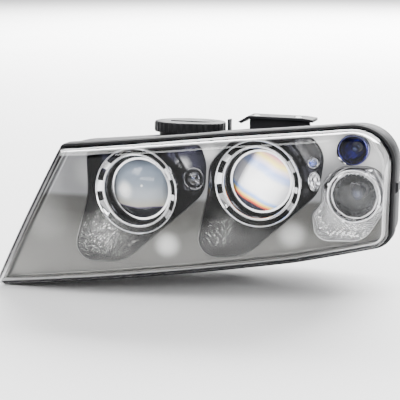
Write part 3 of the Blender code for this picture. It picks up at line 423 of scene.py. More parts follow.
def bumped(tree, height, strength, distance):
    made = add_node(tree, "Bump", {"Height": height, "Strength": strength, "Distance": distance})
    return made.outputs["Normal"]


def new_material(name):
    made = bpy.data.materials.new(name)
    made.use_nodes = True
    return made, made.node_tree, made.node_tree.nodes["Principled BSDF"]


def plastic(name, dark, light, rough, grit=900.0, depth=0.00004, metallic=0.0, mottle=35.0,
            stretch=(1, 1, 1), specular=0.5):
    """A moulded or cast surface: colour and gloss vary slowly, and a fine grit breaks the shine."""
    made, tree, shader = new_material(name)
    slow = grain(tree, mottle, 4.0)
    fast = grain(tree, grit, 2.0, stretch)
    fill(tree, shader, {
        "Base Color": ramp(tree, slow, ((0.3, dark), (0.7, light))), "Roughness": between(tree, slow, *rough),
        "Normal": bumped(tree, fast, 0.6, depth), "Metallic": metallic, "Specular IOR Level": specular,
    })
    return made


def height_share(tree, low, high, axis="Z"):
    """0 at low and 1 at high along an axis of the row frame, in metres."""
    place = add_node(tree, "TexCoord").outputs["Object"]
    parts = add_node(tree, "SeparateXYZ", {"Vector": place})
    made = add_node(tree, "MapRange", {"Value": parts.outputs[axis], "From Min": low, "From Max": high})
    return made.outputs["Result"]


def from_axis(tree, centre):
    """Distance from an axis along Y through centre, in metres."""
    place = add_node(tree, "TexCoord").outputs["Object"]
    flat = add_node(tree, "VectorMath", {0: place, 1: (1, 0, 1)}, operation="MULTIPLY")
    away = add_node(tree, "VectorMath", {0: flat.outputs["Vector"], 1: (centre.x, 0, centre.z)},
                    operation="DISTANCE")
    return away.outputs["Value"]


def add_glints(tree, colour, glints):
    """Soft bright patches in the row frame's X and Z: x, z, radius and strength of each."""
    for x, z, radius, strength in glints:
        away = from_axis(tree, Vector((x, 0, z)))
        near = add_node(tree, "MapRange", {"Value": away, "From Min": radius, "From Max": 0.0,
            "To Max": strength},
                        interpolation_type="SMOOTHERSTEP")
        lit = add_node(tree, "Mix", {0: near.outputs["Result"]}, data_type="RGBA", blend_type="SCREEN")
        tree.links.new(colour, lit.inputs[6])
        lit.inputs[7].default_value = (1, 1, 0.98, 1)
        colour = lit.outputs[2]
    return colour


def mirror(name, stops, axis_z, reach, rough=(0.03, 0.10), waviness=0.00006, well=None, glints=(),
           relief_shade=False):
    """Vacuum-metallised plastic, with set tones by height about axis_z in place of what it would mirror.
    well is the centre and radius of the part in the shade of a lamp's ring."""
    made, tree, shader = new_material(name)
    tone = ramp(tree, height_share(tree, axis_z - reach, axis_z + reach), stops)
    slow = grain(tree, 55.0, 3.0)
    dust_and_shade = ramp(tree, slow, ((0.25, (0.88, 0.88, 0.88)), (0.7, (1, 1, 1))))
    # Painted shade: within the lamp ring's radius the surface is painted near-black, on top of the random
    # dust mottle.
    if well:
        centre, radius = well
        away = from_axis(tree, centre)
        shade = add_node(tree, "MapRange", {"Value": away, "From Min": radius * 0.96,
            "From Max": radius * 1.06})
        shaded = ramp(tree, shade.outputs["Result"], ((0.0, (0.03, 0.03, 0.035)), (1.0, (1, 1, 1))))
        dust_and_shade = multiplied(tree, dust_and_shade, shaded)
    # Painted shade and highlight: the stored knurl height darkens the valleys to a tenth and brightens the
    # peaks up to 3.4 times.
    if relief_shade:
        height = add_node(tree, "Attribute", attribute_name="relief_shade").outputs["Fac"]
        gain = add_node(tree, "MapRange", {"Value": height, "To Min": 0.10, "To Max": 3.4})
        lifted = add_node(tree, "VectorMath", {0: tone, 1: gain.outputs["Result"]}, operation="MULTIPLY")
        tone = lifted.outputs["Vector"]
    tone = add_glints(tree, tone, glints)
    fill(tree, shader, {
        "Base Color": multiplied(tree, tone, dust_and_shade), "Roughness": between(tree, slow, *rough),
        "Normal": bumped(tree, grain(tree, 120.0, 2.0), 0.35, waviness), "Metallic": 1.0,
    })
    return made


def clear(name, tint, index=1.45, gain=1.0, rough=0.02, base=0.0):
    """Thin clear moulding: it mirrors by angle and shows what is behind it."""
    made, tree, shader = new_material(name)
    slant = add_node(tree, "Fresnel", {"IOR": index})
    haze = between(tree, grain(tree, 40.0, 3.0), base, base + 0.006)
    gained = add_node(tree, "Math", {0: slant.outputs["Fac"], 1: gain, 2: haze}, operation="MULTIPLY_ADD")
    gained.use_clamp = True
    fill(tree, shader, {
        "Alpha": gained.outputs["Value"], "Base Color": (*tint, 1), "Metallic": 1.0,
        "Roughness": between(tree, grain(tree, 300.0, 2.0), rough, rough + 0.02),
    })
    return made


def polished_glass(name, axis, radius, stops, tilt, shade, glints, glow):
    """A thick polished lens: painted bands of reflection by height, painted shade to the sides and painted
    highlights, glowing a little as emission though the lens is unlit, under a clear gloss.
    """
    made, tree, shader = new_material(name)
    place = add_node(tree, "TexCoord").outputs["Object"]
    centred = add_node(tree, "Mapping", {"Vector": place, "Location": tuple(-c for c in axis)})
    turned_place = add_node(tree, "Mapping", {"Vector": centred.outputs["Vector"], "Rotation": tilt})
    parts = add_node(tree, "SeparateXYZ", {"Vector": turned_place.outputs["Vector"]})
    wobble = between(tree, grain(tree, 28.0, 2.0), -0.0035, 0.0035)
    bent = add_node(tree, "Math", {0: parts.outputs["Z"], 1: wobble}, operation="ADD")
    share = add_node(tree, "MapRange", {"Value": bent.outputs["Value"], "From Min": -radius,
        "From Max": radius})
    sideways = add_node(tree, "MapRange", {"Value": parts.outputs["X"], "From Min": -radius,
        "From Max": radius})
    dimmed = multiplied(tree, ramp(tree, share.outputs["Result"], stops),
        ramp(tree, sideways.outputs["Result"], shade))
    colours = add_glints(tree, dimmed, glints)
    fill(tree, shader, {
        "Base Color": colours, "Emission Color": colours, "Emission Strength": glow, "Roughness": 0.25,
        "Specular IOR Level": 0.1, "Metallic": 0.0, "Coat Weight": 1.0, "Coat Roughness": 0.02,
        "Coat IOR": 1.45,
    })
    return made


HOUSING_SKIN = plastic("housing_skin", (0.010, 0.010, 0.012), (0.020, 0.020, 0.023), (0.45, 0.62), 1100,
    0.00005, specular=0.15)
CAP_SKIN = plastic("cap_skin", (0.007, 0.007, 0.008), (0.014, 0.014, 0.016), (0.36, 0.50), 1400, 0.00003,
                   specular=0.15)
RUBBER = plastic("rubber_skin", (0.004, 0.004, 0.005), (0.008, 0.008, 0.009), (0.55, 0.75), 1600, 0.00003,
                 specular=0.25)
# Where light gathers: x, z, radius and strength
BEZEL_GLINTS = ((LOW.x - 0.056, LOW.z + 0.020, 0.030, 0.25), (LOW.x + 0.038, LOW.z - 0.060, 0.020, 0.55),
                (HIGH.x + 0.040, HIGH.z - 0.056, 0.022, 0.40),
                (POSITION.x + 0.030, POSITION.z - 0.010, 0.045, 0.95),
                (POSITION.x - 0.030, POSITION.z + 0.005, 0.034, 0.95),
                (LOW.x - 0.110, LOW.z - 0.035, 0.045, 0.12),
                (LOW.x + 0.080, LOW.z + 0.045, 0.016, 0.60))
# Painted reflection: the satin bezel is painted darker below z 0.094 and lighter above it, with the painted
# highlights listed above.
SATIN = mirror("satin_paint", ((0.0, (0.155, 0.153, 0.143)), (0.30, (0.105, 0.104, 0.096)),
    (0.475, (0.095, 0.094, 0.089)),
                               (0.50, (0.30, 0.303, 0.31)), (1.0, (0.36, 0.363, 0.37))), 0.094, 0.11,
               (0.26, 0.34), waviness=0.0,
               glints=BEZEL_GLINTS)
BLACK_STEEL = plastic("black_steel_skin", (0.020, 0.020, 0.023), (0.035, 0.035, 0.038), (0.25, 0.40), 1500,
    0.00002, 0.4)
ALLOY = plastic("cast_alloy_skin", (0.42, 0.43, 0.44), (0.56, 0.57, 0.58), (0.35, 0.55), 700, 0.00010, 0.95)
CASE_ALLOY = plastic("drawn_alloy_skin", (0.50, 0.51, 0.52), (0.62, 0.63, 0.64), (0.25, 0.42), 260, 0.00003,
    0.95,
                     stretch=(0.04, 1, 1))
ZINC = plastic("zinc_skin", (0.52, 0.52, 0.50), (0.68, 0.68, 0.65), (0.25, 0.45), 900, 0.00004, 1.0,
               mottle=220.0)
NYLON = plastic("nylon_skin", (0.68, 0.66, 0.60), (0.78, 0.76, 0.70), (0.40, 0.55), 900, 0.00004)
SOCKET = plastic("socket_skin", (0.030, 0.031, 0.034), (0.050, 0.051, 0.056), (0.38, 0.52), 1200, 0.00004)
CLEAR_LENS = clear("clear_cover", (1.0, 1.0, 1.0), 1.46, 0.5, 0.015)
INNER_CLEAR = clear("clear_inner", (0.97, 0.98, 1.0), 1.5, 0.8, 0.02)
# Chrome tones, a little lighter towards the top, painted in place of its reflection.
BRIGHT = ((0.0, (0.80, 0.80, 0.81)), (1.0, (0.84, 0.84, 0.86)))
CHROME = mirror("chrome_plain", BRIGHT, 0.1, 0.1)
# Painted reflection: the marker cup is painted darker across the middle of its height.
CUP_MIRROR = mirror("cup_mirror", ((0.0, (0.40, 0.40, 0.41)), (0.5, (0.16, 0.16, 0.18)),
    (1.0, (0.40, 0.40, 0.42))), LOW.z + 0.0145, 0.014)
# Painted reflections in the pockets' chrome by height: lightest at the bottom, darker and bluer higher up.
POCKET_TONES = ((0.0, (0.105, 0.105, 0.100)), (0.30, (0.052, 0.052, 0.050)), (0.48, (0.040, 0.040, 0.044)),
                (0.60, (0.022, 0.022, 0.034)), (1.0, (0.030, 0.030, 0.050)))
HIGH_TONES = ((0.0, (0.050, 0.050, 0.048)), (0.30, (0.034, 0.034, 0.033)), (0.48, (0.030, 0.030, 0.033)),
              (0.60, (0.022, 0.022, 0.030)), (1.0, (0.040, 0.040, 0.046)))
LOW_MIRROR = mirror("low_pocket_mirror", POCKET_TONES, LOW.z, 0.09, (0.05, 0.11), well=(LOW, 0.0490),
                    glints=((LOW.x - 0.050, LOW.z - 0.050, 0.040, 0.35),
                        (LOW.x + 0.050, LOW.z + 0.030, 0.014, 0.35)), relief_shade=True)
HIGH_MIRROR = mirror("high_pocket_mirror", HIGH_TONES, HIGH.z, 0.09, (0.05, 0.11), well=(HIGH, 0.0490),
                     glints=((HIGH.x - 0.048, HIGH.z - 0.060, 0.030, 0.20),
                         (HIGH.x + 0.056, HIGH.z + 0.040, 0.026, 0.16)), relief_shade=True)
# Painted reflection: the turn pocket is painted a little lighter at the bottom than at the top.
TURN_MIRROR = mirror("turn_pocket_mirror", ((0, (0.60, 0.60, 0.60)), (1, (0.50, 0.50, 0.51))), TURN.z, 0.05,
    (0.06, 0.14), relief_shade=True)
BULB = clear("bulb_clear", (0.45, 0.55, 0.95), 1.5, 1.4, 0.02, 0.06)


# ---------------------------------------------------------------- case, lens, seal and bezel

def fan(outline, back, shares):
    """Loops from near the middle of a sheet out to the outline."""
    middle = sum(outline, Vector((0, 0))) / len(outline)
    loops = [on_sheet([middle], back)]
    return loops + [on_sheet([middle.lerp(p, share) for p in outline], back) for share in shares]


SHARES = [k / 12 for k in range(1, 12)]


def lens_shell(bm):
    skirt = SEAL_INSET + SEAL_WIDTH + GAP
    profile = [(0.0155, 0.0), (0.013, 0.0002), (0.0104, 0.0007), (0.008, 0.0017), (0.0062, 0.0033),
               (0.0051, 0.0056),
               (0.0043, 0.0085), (skirt, 0.012), (skirt, LENS_SKIRT)]
    outer = curve(profile[:-1], 3) + [(skirt, 0.020), profile[-1]]
    inner = [(inset + LENS_WALL, depth + LENS_WALL * (1 - 0.8 * k / len(outer))) for k,
             (inset, depth) in enumerate(outer)]
    inner[-1] = (skirt + LENS_WALL, LENS_SKIRT)
    loops = fan(rounded(LAMP, 0.0155), 0, SHARES) + [on_sheet(rounded(LAMP, i), d) for i, d in outer]
    loops += [on_sheet(rounded(LAMP, i), d) for i, d in reversed(inner)]
    skin(bm, loops + fan(rounded(LAMP, inner[0][0]), inner[0][1], SHARES)[::-1])


def seal_bead(bm):
    profile = [(SEAL_INSET, 0.0190), (0.0010, 0.0184), (0.0020, SEAL_FRONT), (0.0030, 0.0184),
               (SEAL_INSET + SEAL_WIDTH, 0.0190), (SEAL_INSET + SEAL_WIDTH, RIM_SETBACK),
               (SEAL_INSET, RIM_SETBACK)]
    skin(bm, [on_sheet(rounded(LAMP, i), d) for i, d in profile], ring=True)


def bezel_sheet(bm):
    edge = SEAL_INSET + SEAL_WIDTH + GAP + LENS_WALL + 2 * GAP
    lip = edge + 0.0015
    front, back = BEZEL_SETBACK, BEZEL_SETBACK + BEZEL_WALL
    loops = fan(rounded(LAMP, lip + 0.0030), front, SHARES)
    cove = [(lip + 0.0030, front), (lip + 0.0014, front - 0.0004), (lip + 0.0004, front - 0.0013),
            (lip, front - 0.0028),
            (lip, front - BEZEL_LIP), (lip - 0.0007, front - BEZEL_LIP - 0.0003), (edge, front - BEZEL_LIP)]
    loops += [on_sheet(rounded(LAMP, i), d) for i, d in cove]
    skin(bm, loops + [on_sheet(rounded(LAMP, edge), back)] + fan(rounded(LAMP, edge), back, SHARES)[::-1])


def opening(axis, corners):
    return lambda bm: prism(bm, rounded(around(axis, corners)), "Y", FRONT_Y - 0.010, axis.y + 0.060)


def housing_loops(bm):
    rim_back, ledge = RIM_SETBACK + RIM_DEPTH, LENS_SKIRT + 2 * GAP
    channel, shoulder, corner = SEAL_INSET + SEAL_WIDTH, 0.0025, 0.008

    def belly(inset, rear_inset, along):
        front = on_sheet(rounded(LAMP, inset), rim_back + shoulder)
        back = at_y(rounded(REAR, rear_inset), REAR_Y)
        share, depth = curve([(0, 0), (0.15, 0.45), (1, 1)], 6)[along]
        loop = []
        for a, b in zip(front, back):
            middle = a.lerp(b, share)
            middle.y = a.y + (b.y - corner - a.y) * depth
            loop.append(middle)
        return loop

    loops = [at_y(rounded(REAR, corner), REAR_Y), at_y(rounded(REAR, corner * 0.5), REAR_Y - 0.0011),
             at_y(rounded(REAR, corner * 0.15), REAR_Y - corner * 0.5),
             at_y(rounded(REAR, 0), REAR_Y - corner)]
    loops += [belly(shoulder, 0, k) for k in range(11, 0, -1)]
    loops += [on_sheet(rounded(LAMP, i), d) for i, d in (
        (shoulder, rim_back + shoulder), (shoulder * 0.25, rim_back + shoulder * 0.35), (0, rim_back),
        (0, RIM_SETBACK + GAP + 0.0008), (0.0006, RIM_SETBACK + GAP), (channel, RIM_SETBACK + GAP),
        (channel, ledge),
        (LEDGE_INSET, ledge), (LEDGE_INSET, rim_back + shoulder))]
    loops += [belly(shoulder + HOUSING_WALL, HOUSING_WALL, k) for k in range(1, 12)]
    loops += [at_y(rounded(REAR, HOUSING_WALL), REAR_Y - corner),
              at_y(rounded(REAR, corner + 0.001), REAR_Y - HOUSING_WALL)]
    skin(bm, loops)


def brick_at(centre, size):
    return lambda bm: block(bm, centre, size)


def turned_at(profile, centre, direction=(0, 1, 0), segments=96):
    return lambda bm: turned(bm, profile, centre, direction, segments)


def make_housing():
    floor = CAP_LOWEST - 2 * GAP
    recess = [(0, floor), (CAP_R + 0.0015, floor), (CAP_R + 0.0015, 0.020), (0, 0.020)]
    top_boss = [(0, 0), (CAP_BOSS_R - 0.0006, 0), (CAP_BOSS_R, -0.0006), (CAP_BOSS_R, -0.022), (0, -0.022)]
    deep = -BOSS_HEIGHT - HOUSING_WALL / 2
    rear_boss = [(r, a if a > -0.02 else deep) for r, a in top_boss]
    inside = [(0, -0.030), (CAP_HOLE_R, -0.030), (CAP_HOLE_R, 0.004), (0, 0.004)]
    foot = Vector((0.056, 0.036, 0.022))
    post_top = BRACKET_BOX[1].z - 0.0032 - GAP
    middle = (BRACKET_BOX[0] + BRACKET_BOX[1]) / 2
    peg_x, peg_z = station(1.0) + 0.0015, level(0.6315)
    peg_y = sheet_y(peg_x, peg_z, 0.030)
    peg = [(peg_x - 0.0045, peg_z - 0.008), (peg_x - 0.003, peg_z - 0.0065), (peg_x, peg_z - 0.003),
           (peg_x, peg_z + 0.0065), (peg_x - 0.0045, peg_z + 0.0065)]
    knob = middle_of("aim_knob")
    shapes = [
        ("DIFFERENCE", turned_at(recess, TOP_CAP, TOP_UP)),
        ("UNION", turned_at(top_boss, TOP_CAP, TOP_UP)),
        ("UNION", turned_at(rear_boss, REAR_CAP)),
        ("UNION", brick_at(Vector((0, 0, foot.z / 2)), foot)),
        ("UNION", brick_at(Vector((station(0.5604), TOP_CAP.y, TOP_CAP.z)), (0.0028, 0.008, 0.0185))),
        ("UNION", lambda bm: prism(bm, peg, "Y", peg_y - 0.006, peg_y + 0.006)),
    ]
    for hand in (-0.28, 0.28):
        top = Vector((middle.x + hand * 0.090, middle.y, post_top - 0.010))
        shapes.append(("UNION", brick_at(top, (0.012, 0.014, 0.020))))
    wall = Vector((BRACKET_BOX[1].x - BRACKET_BOX[0].x - 0.018, 0.005, 0.020))
    shapes.append(("UNION", brick_at((middle.x + 0.004, middle.y - 0.0045, post_top - wall.z / 2), wall)))
    # Moulded ribs on the rear wall
    for x in (-0.020, 0.004, 0.136, 0.176):
        shapes.append(("UNION", brick_at((x, REAR_Y, 0.050), (0.0018, 0.006, 0.058))))
    for z in (0.0285, 0.092, 0.1045):
        shapes.append(("UNION", brick_at((0.055, REAR_Y, z), (0.245, 0.006, 0.0018))))
    shapes.append(("DIFFERENCE", turned_at([(0, -0.006), (0.0135, -0.006), (0.0135, 0.02), (0, 0.02)], knob)))
    shapes += [("DIFFERENCE", turned_at(inside, TOP_CAP, TOP_UP)),
               ("DIFFERENCE", turned_at(inside, REAR_CAP))]
    bolt = [(0, -0.001), (0.0033, -0.001), (0.0033, 0.012), (0, 0.012)]
    shapes.append(("DIFFERENCE", turned_at(bolt, (foot.x * 0.35, 0, 0), (0, 0, 1), 32)))
    spindle = [(0, -0.020), (0.0029, -0.020), (0.0029, 0.01), (0, 0.01)]
    shapes.append(("DIFFERENCE", turned_at(spindle, knob, segments=24)))
    piece("case_shell", housing_loops, HOUSING_SKIN, nodes=("housing",), smooth=32,
          cutters=shapes)


def make_front():
    piece("cover_glass", lens_shell, CLEAR_LENS, nodes=("outer_lens",), smooth=60)
    piece("seal_bead", seal_bead, RUBBER, nodes=("lens_seal",), smooth=40)
    holes = [opening(LOW, LOW_POCKET), opening(HIGH, HIGH_POCKET), opening(TURN, TURN_POCKET)]
    ahead = Vector((0, 0.040, 0))
    radius = POSITION_R + SEAT_GAP
    holes.append(turned_at([(0, 0), (radius, 0), (radius, 0.08), (0, 0.08)], POSITION - ahead))
    piece("satin_bezel", bezel_sheet, SATIN, nodes=("inner_bezel",), smooth=40,
          cutters=[("DIFFERENCE", hole) for hole in holes])


# ---------------------------------------------------------------- pockets

def resample(loop, count):
    """The same closed path in points of even spacing."""
    steps = [(loop[(i + 1) % len(loop)] - p).length for i, p in enumerate(loop)]
    total, made, walked, i = sum(steps), [], 0.0, 0
    for k in range(count):
        goal = total * k / count
        while walked + steps[i] < goal:
            walked += steps[i]
            i += 1
        made.append(loop[i].lerp(loop[(i + 1) % len(loop)], (goal - walked) / steps[i]))
    return made


def ease(value):
    value = min(max(value, 0.0), 1.0)
    return value * value * (3 - 2 * value)


# Relief value at which the painted knurl shade and highlight leave the tone about as it is.
NEUTRAL = 0.27


def pocket(name, node, axis, corners, floor_r, hole_r, floor_depth, knurl, surface, lamps=(), count=720):
    """A metallised bowl. The scoop between two angles is knurled in diamonds."""
    shape = around(axis, corners)
    outer, inner = (resample(rounded(shape, SEAT_GAP + wall, 12), count) for wall in (0, POCKET_WALL))
    back, floor_y = BEZEL_SETBACK + 0.0008, axis.y + floor_depth
    centre = Vector((axis.x, axis.z))

    def circle(outline, radius):
        return [centre + (p - centre).normalized() * radius for p in outline]

    def bowl(outline, radius, shift, steps):
        rim = on_sheet(outline, back)
        seat = at_y(circle(outline, radius), floor_y + shift)
        loops = []
        for inwards, deeper in curve([(0, 0), (0.10, 0.45), (0.45, 0.84), (1, 1)], steps):
            step = [a.lerp(b, inwards) for a, b in zip(rim, seat)]
            for point, a, b in zip(step, rim, seat):
                point.y = a.y + shift * (1 - deeper) + (b.y - a.y) * deeper
            loops.append(step)
        return loops

    front = bowl(inner, floor_r, 0.0, 20)
    start, end, pitch, depth = knurl
    spacing = (outer[1] - outer[0]).length
    travelled = [0.0] * count
    raised = [list(loop) for loop in front]
    relief_shade = [[NEUTRAL] * count for _ in front]
    for k in range(1, len(front) - 1):
        for i in range(count):
            here = front[k][i]
            travelled[i] += (here - front[k - 1][i]).length
            angle = math.degrees(math.atan2(here.z - axis.z, here.x - axis.x)) % 360
            share = ease((angle - start) / 5) * ease((end - angle) / 5)
            share *= ease((k - 3) / 3)
            share *= ease((len(front) - 4 - k) / 3)
            if share == 0:
                continue
            along = i * spacing * 0.86
            a = ((along + travelled[i]) / pitch) % 1.0
            b = ((along - travelled[i]) / pitch) % 1.0
            height = 1 - max(abs(a - 0.5), abs(b - 0.5)) * 2
            relief_shade[k][i] = NEUTRAL + (height - NEUTRAL) * share
            normal = (front[k][(i + 1) % count] - front[k][i - 1]).cross(front[k + 1][i] - front[k - 1][i])
            normal.normalize()
            inwards = Vector((axis.x, axis.y - 0.05, axis.z)) - here
            raised[k][i] = here + normal * math.copysign(depth * height * share, normal.dot(inwards))

    def build(bm):
        rim_out, rim_in = on_sheet(outer, back), on_sheet(inner, back)
        lip = [[p + Vector((0, -0.0011, 0)) for p in a] for a in (
            [a.lerp(b, 0.25) for a, b in zip(rim_out, rim_in)],
            [a.lerp(b, 0.75) for a, b in zip(rim_out, rim_in)])]
        rear = bowl(outer, floor_r + POCKET_WALL, POCKET_WALL, 3)
        floor = [at_y(circle(outer, hole_r), floor_y + shift) for shift in (POCKET_WALL, 0.0)]
        skin(bm, lip[::-1] + rear + floor + raised[::-1], ring=True)
        # The knurl's heights, kept for the painted shade in its valleys and the painted highlight on its
        # peaks.
        layer = bm.verts.layers.float.new("relief_shade")
        heights = [value for loop in relief_shade[::-1] for value in loop]
        bm.verts.ensure_lookup_table()
        plain = len(bm.verts) - len(heights)
        for i, vert in enumerate(bm.verts):
            vert[layer] = heights[i - plain] if i >= plain else NEUTRAL

    ahead = Vector((0, 0.030, 0))
    cuts = [("DIFFERENCE", lambda bm, lamp=lamp, r=radius, s=stretch: turned(
        bm, [(0, 0), (r, 0), (r, 0.06), (0, 0.06)], lamp - ahead, segments=64, stretch=s)) for lamp, radius,
            stretch in lamps]
    piece(name, build, surface, nodes=(node,), smooth=14, cutters=cuts)


def make_pockets():
    hole_r = GLASS_R + GAP + HOLDER_WALL + 0.0034
    depth = RING_DEPTH + GAP
    pocket("low_scoop", "low_beam_pocket", LOW, LOW_POCKET, 0.046, hole_r, depth, (184, 262, 0.0028, 0.0009),
           LOW_MIRROR,
           [(MARKER, MARKER_R + 0.0018 + SEAT_GAP, 1.0)])
    pocket("high_scoop", "high_beam_pocket", HIGH, HIGH_POCKET, 0.046, hole_r, depth,
           (190, 296, 0.0028, 0.0009), HIGH_MIRROR,
           [(SIDE, SIDE_R + SEAT_GAP, SIDE_STRETCH), (PILOT, PILOT_R + SEAT_GAP, 1.0)])
    pocket("turn_scoop", "turn_pocket", TURN, TURN_POCKET, 0.0317, 0.028, 0.016, (165, 330, 0.0026, 0.0008),
           TURN_MIRROR,
           count=480)


# ---------------------------------------------------------------- projectors

def projector_ring(name, node, axis, surface):
    """A slotted cone between an outer and an inner bead, and the sleeve behind it."""
    profile = [
        (0.0505, 0.0055), (0.0505, 0.0024), (0.0503, 0.0014), (0.0498, 0.0007), (0.0493, 0.0004),
        (0.0488, 0.0008),
        (0.0484, 0.0016), (0.0480, 0.0020), (0.0428, 0.0050), (0.0423, 0.0050), (0.0419, 0.0044),
        (0.0414, 0.0040),
        (0.0408, 0.0041), (0.0403, 0.0046), (0.0400, 0.0056), (0.0400, 0.0235), (0.0425, 0.0235),
        (0.0425, 0.0074),
        (0.0483, 0.0040), (0.0483, 0.0055),
    ]
    cuts = []
    for start, end in RING_WINDOWS:
        steps = max(3, (end - start) // 3)
        angles = [math.radians(start + (end - start) * k / steps) for k in range(steps + 1)]
        inner, rim = ([(axis.x + r * math.cos(a), axis.z + r * math.sin(a)) for a in angles]
            for r in WINDOW_R)
        cuts.append(("DIFFERENCE", lambda bm, o=inner + rim[::-1]: prism(bm, o, "Y", axis.y - 0.002,
            axis.y + 0.0115)))
    piece(name, turned_at(profile, axis, segments=144), surface, nodes=(node,), smooth=50,
          cutters=cuts)


def projector_glass(name, node, axis, surface):
    front, sag, clear_r = GLASS_BEHIND_RING, 0.015, GLASS_CLEAR_R
    ball = (clear_r**2 + sag**2) / (2 * sag)
    half, steps = math.asin(clear_r / ball), 28
    dome = [(ball * math.sin(half * k / steps), front - sag + ball * (1 - math.cos(half * k / steps)))
            for k in range(steps + 1)]
    profile = dome + [(0.0346, front), (GLASS_R, front + 0.0004), (GLASS_R, front + GLASS_EDGE),
        (0, front + GLASS_EDGE)]
    piece(name, turned_at(profile, axis, segments=128), surface, "projectors", (node,),
          smooth=32)


def projector_barrel(name, node, axis):
    seat, front, plate = 0.0353, GLASS_BEHIND_RING, PLATE_BEHIND_RING
    outer, clear_r = seat + HOLDER_WALL, GLASS_CLEAR_R
    profile = [
        (clear_r + GAP, front - 0.0019), (clear_r + 0.0007, front - 0.0023), (outer - 0.0004, front - 0.0023),
        (outer, front - 0.0019), (outer, 0.034), (outer - 0.0006, 0.0346), (outer - 0.0006, 0.0360),
        (outer, 0.0366),
        (outer, plate - GAP - 0.005), (outer + 0.002, plate - GAP - 0.003), (0.044, plate - GAP - 0.003),
        (0.044, plate - GAP), (seat - 0.0015, plate - GAP), (seat - 0.0015, front + 0.003 + GAP),
        (seat, front + 0.003 + GAP), (seat, front - GAP), (clear_r + GAP, front - GAP),
    ]
    # The barrel's chrome is bright up to its front lip and painted near-black behind it, as painted shade.
    lip = ring_mirror(f"{name}_lip", axis, (front - 0.0022) / RING_DEPTH)
    piece(name, turned_at(profile, axis, segments=96), lip, "projectors", (node,), smooth=35)


# Painted reflections in the projector glasses by height: the low beam's glass is near-black in its lower part
# under a thin purple line and grey-blue above, and the high beam's shows rainbow bands and white.
NIGHT = (0.012, 0.013, 0.020)
LOW_BANDS = ((0.0, NIGHT), (0.12, (0.01, 0.011, 0.014)), (0.20, (0.015, 0.015, 0.02)),
             (0.21, (0.07, 0.05, 0.12)),
             (0.235, (0.42, 0.40, 0.34)), (0.40, (0.36, 0.39, 0.42)), (0.62, (0.22, 0.26, 0.31)),
             (0.90, (0.17, 0.21, 0.27)),
             (1.0, (0.05, 0.06, 0.08)))
HIGH_BANDS = ((0.0, NIGHT), (0.10, (0.02, 0.02, 0.03)), (0.14, (0.70, 0.10, 0.05)),
              (0.18, (0.95, 0.70, 0.10)),
              (0.24, (0.20, 0.40, 0.90)), (0.31, (0.95, 0.97, 1.0)), (0.64, (1.0, 1.0, 0.99)),
              (0.70, (0.55, 0.66, 0.95)),
              (0.77, (0.40, 0.52, 0.90)), (0.84, (0.85, 0.75, 0.80)), (0.90, (1.0, 0.85, 0.25)),
              (1.0, (0.50, 0.10, 0.35)))
LOW_SHADE = ((0.0, (0.25, 0.25, 0.27)), (0.12, (1, 1, 1)), (0.90, (1, 1, 1)), (1.0, (0.30, 0.30, 0.32)))
HIGH_SHADE = ((0.0, (0.04, 0.04, 0.05)), (0.16, (0.12, 0.12, 0.13)), (0.26, (0.80, 0.80, 0.82)),
              (0.60, (1, 1, 1)),
              (0.85, (0.75, 0.75, 0.76)), (1.0, (0.35, 0.35, 0.37)))
LOW_GLINTS = ((LOW.x - 0.016, LOW.z - 0.001, 0.015, 0.95), (LOW.x + 0.006, LOW.z + 0.006, 0.0022, 0.9))
HIGH_GLINTS = ((HIGH.x - 0.004, HIGH.z, 0.016, 0.9), (HIGH.x + 0.006, HIGH.z + 0.010, 0.0022, 0.9))


def ring_mirror(name, axis, bright=0.27):
    """Chrome, bright in front, with painted shade, near-black, down in the sleeve."""
    made, tree, shader = new_material(name)
    depth = height_share(tree, axis.y, axis.y + RING_DEPTH, "Y")
    tone = ramp(tree, depth, ((0.0, (0.90, 0.90, 0.91)), (bright, (0.84, 0.84, 0.86)),
        (bright + 0.03, (0.035, 0.035, 0.04)),
                              (1.0, (0.02, 0.02, 0.025))))
    slow = grain(tree, 90.0, 3.0)
    fill(tree, shader, {
        "Base Color": tone, "Roughness": between(tree, slow, 0.04, 0.12),
        "Normal": bumped(tree, slow, 0.3, 0.00008), "Metallic": 1.0,
    })
    return made


def make_projectors():
    # glow is emission strength: the glasses give off light of their own though they are unlit.
    for name, axis, bands, shade, glints, lean, glow in (
        ("low", LOW, LOW_BANDS, LOW_SHADE, LOW_GLINTS, 0.0, 0.55),
        ("high", HIGH, HIGH_BANDS, HIGH_SHADE, HIGH_GLINTS, -0.50, 3.0),
    ):
        projector_ring(f"{name}_ring", f"{name}_beam_ring", axis, ring_mirror(f"{name}_ring_mirror", axis))
        glass = polished_glass(f"{name}_glass_bands", axis, 0.034, bands, (0, lean, 0), shade, glints,
            glow=glow)
        projector_glass(f"{name}_glass", f"{name}_beam_lens", axis, glass)
        projector_barrel(f"{name}_barrel", f"{name}_beam_barrel", axis)
        dress(f"{name}_beam_reflector", CHROME, 0)
        dress(f"{name}_beam_bulb", BULB, 0)


# ---------------------------------------------------------------- small lamps

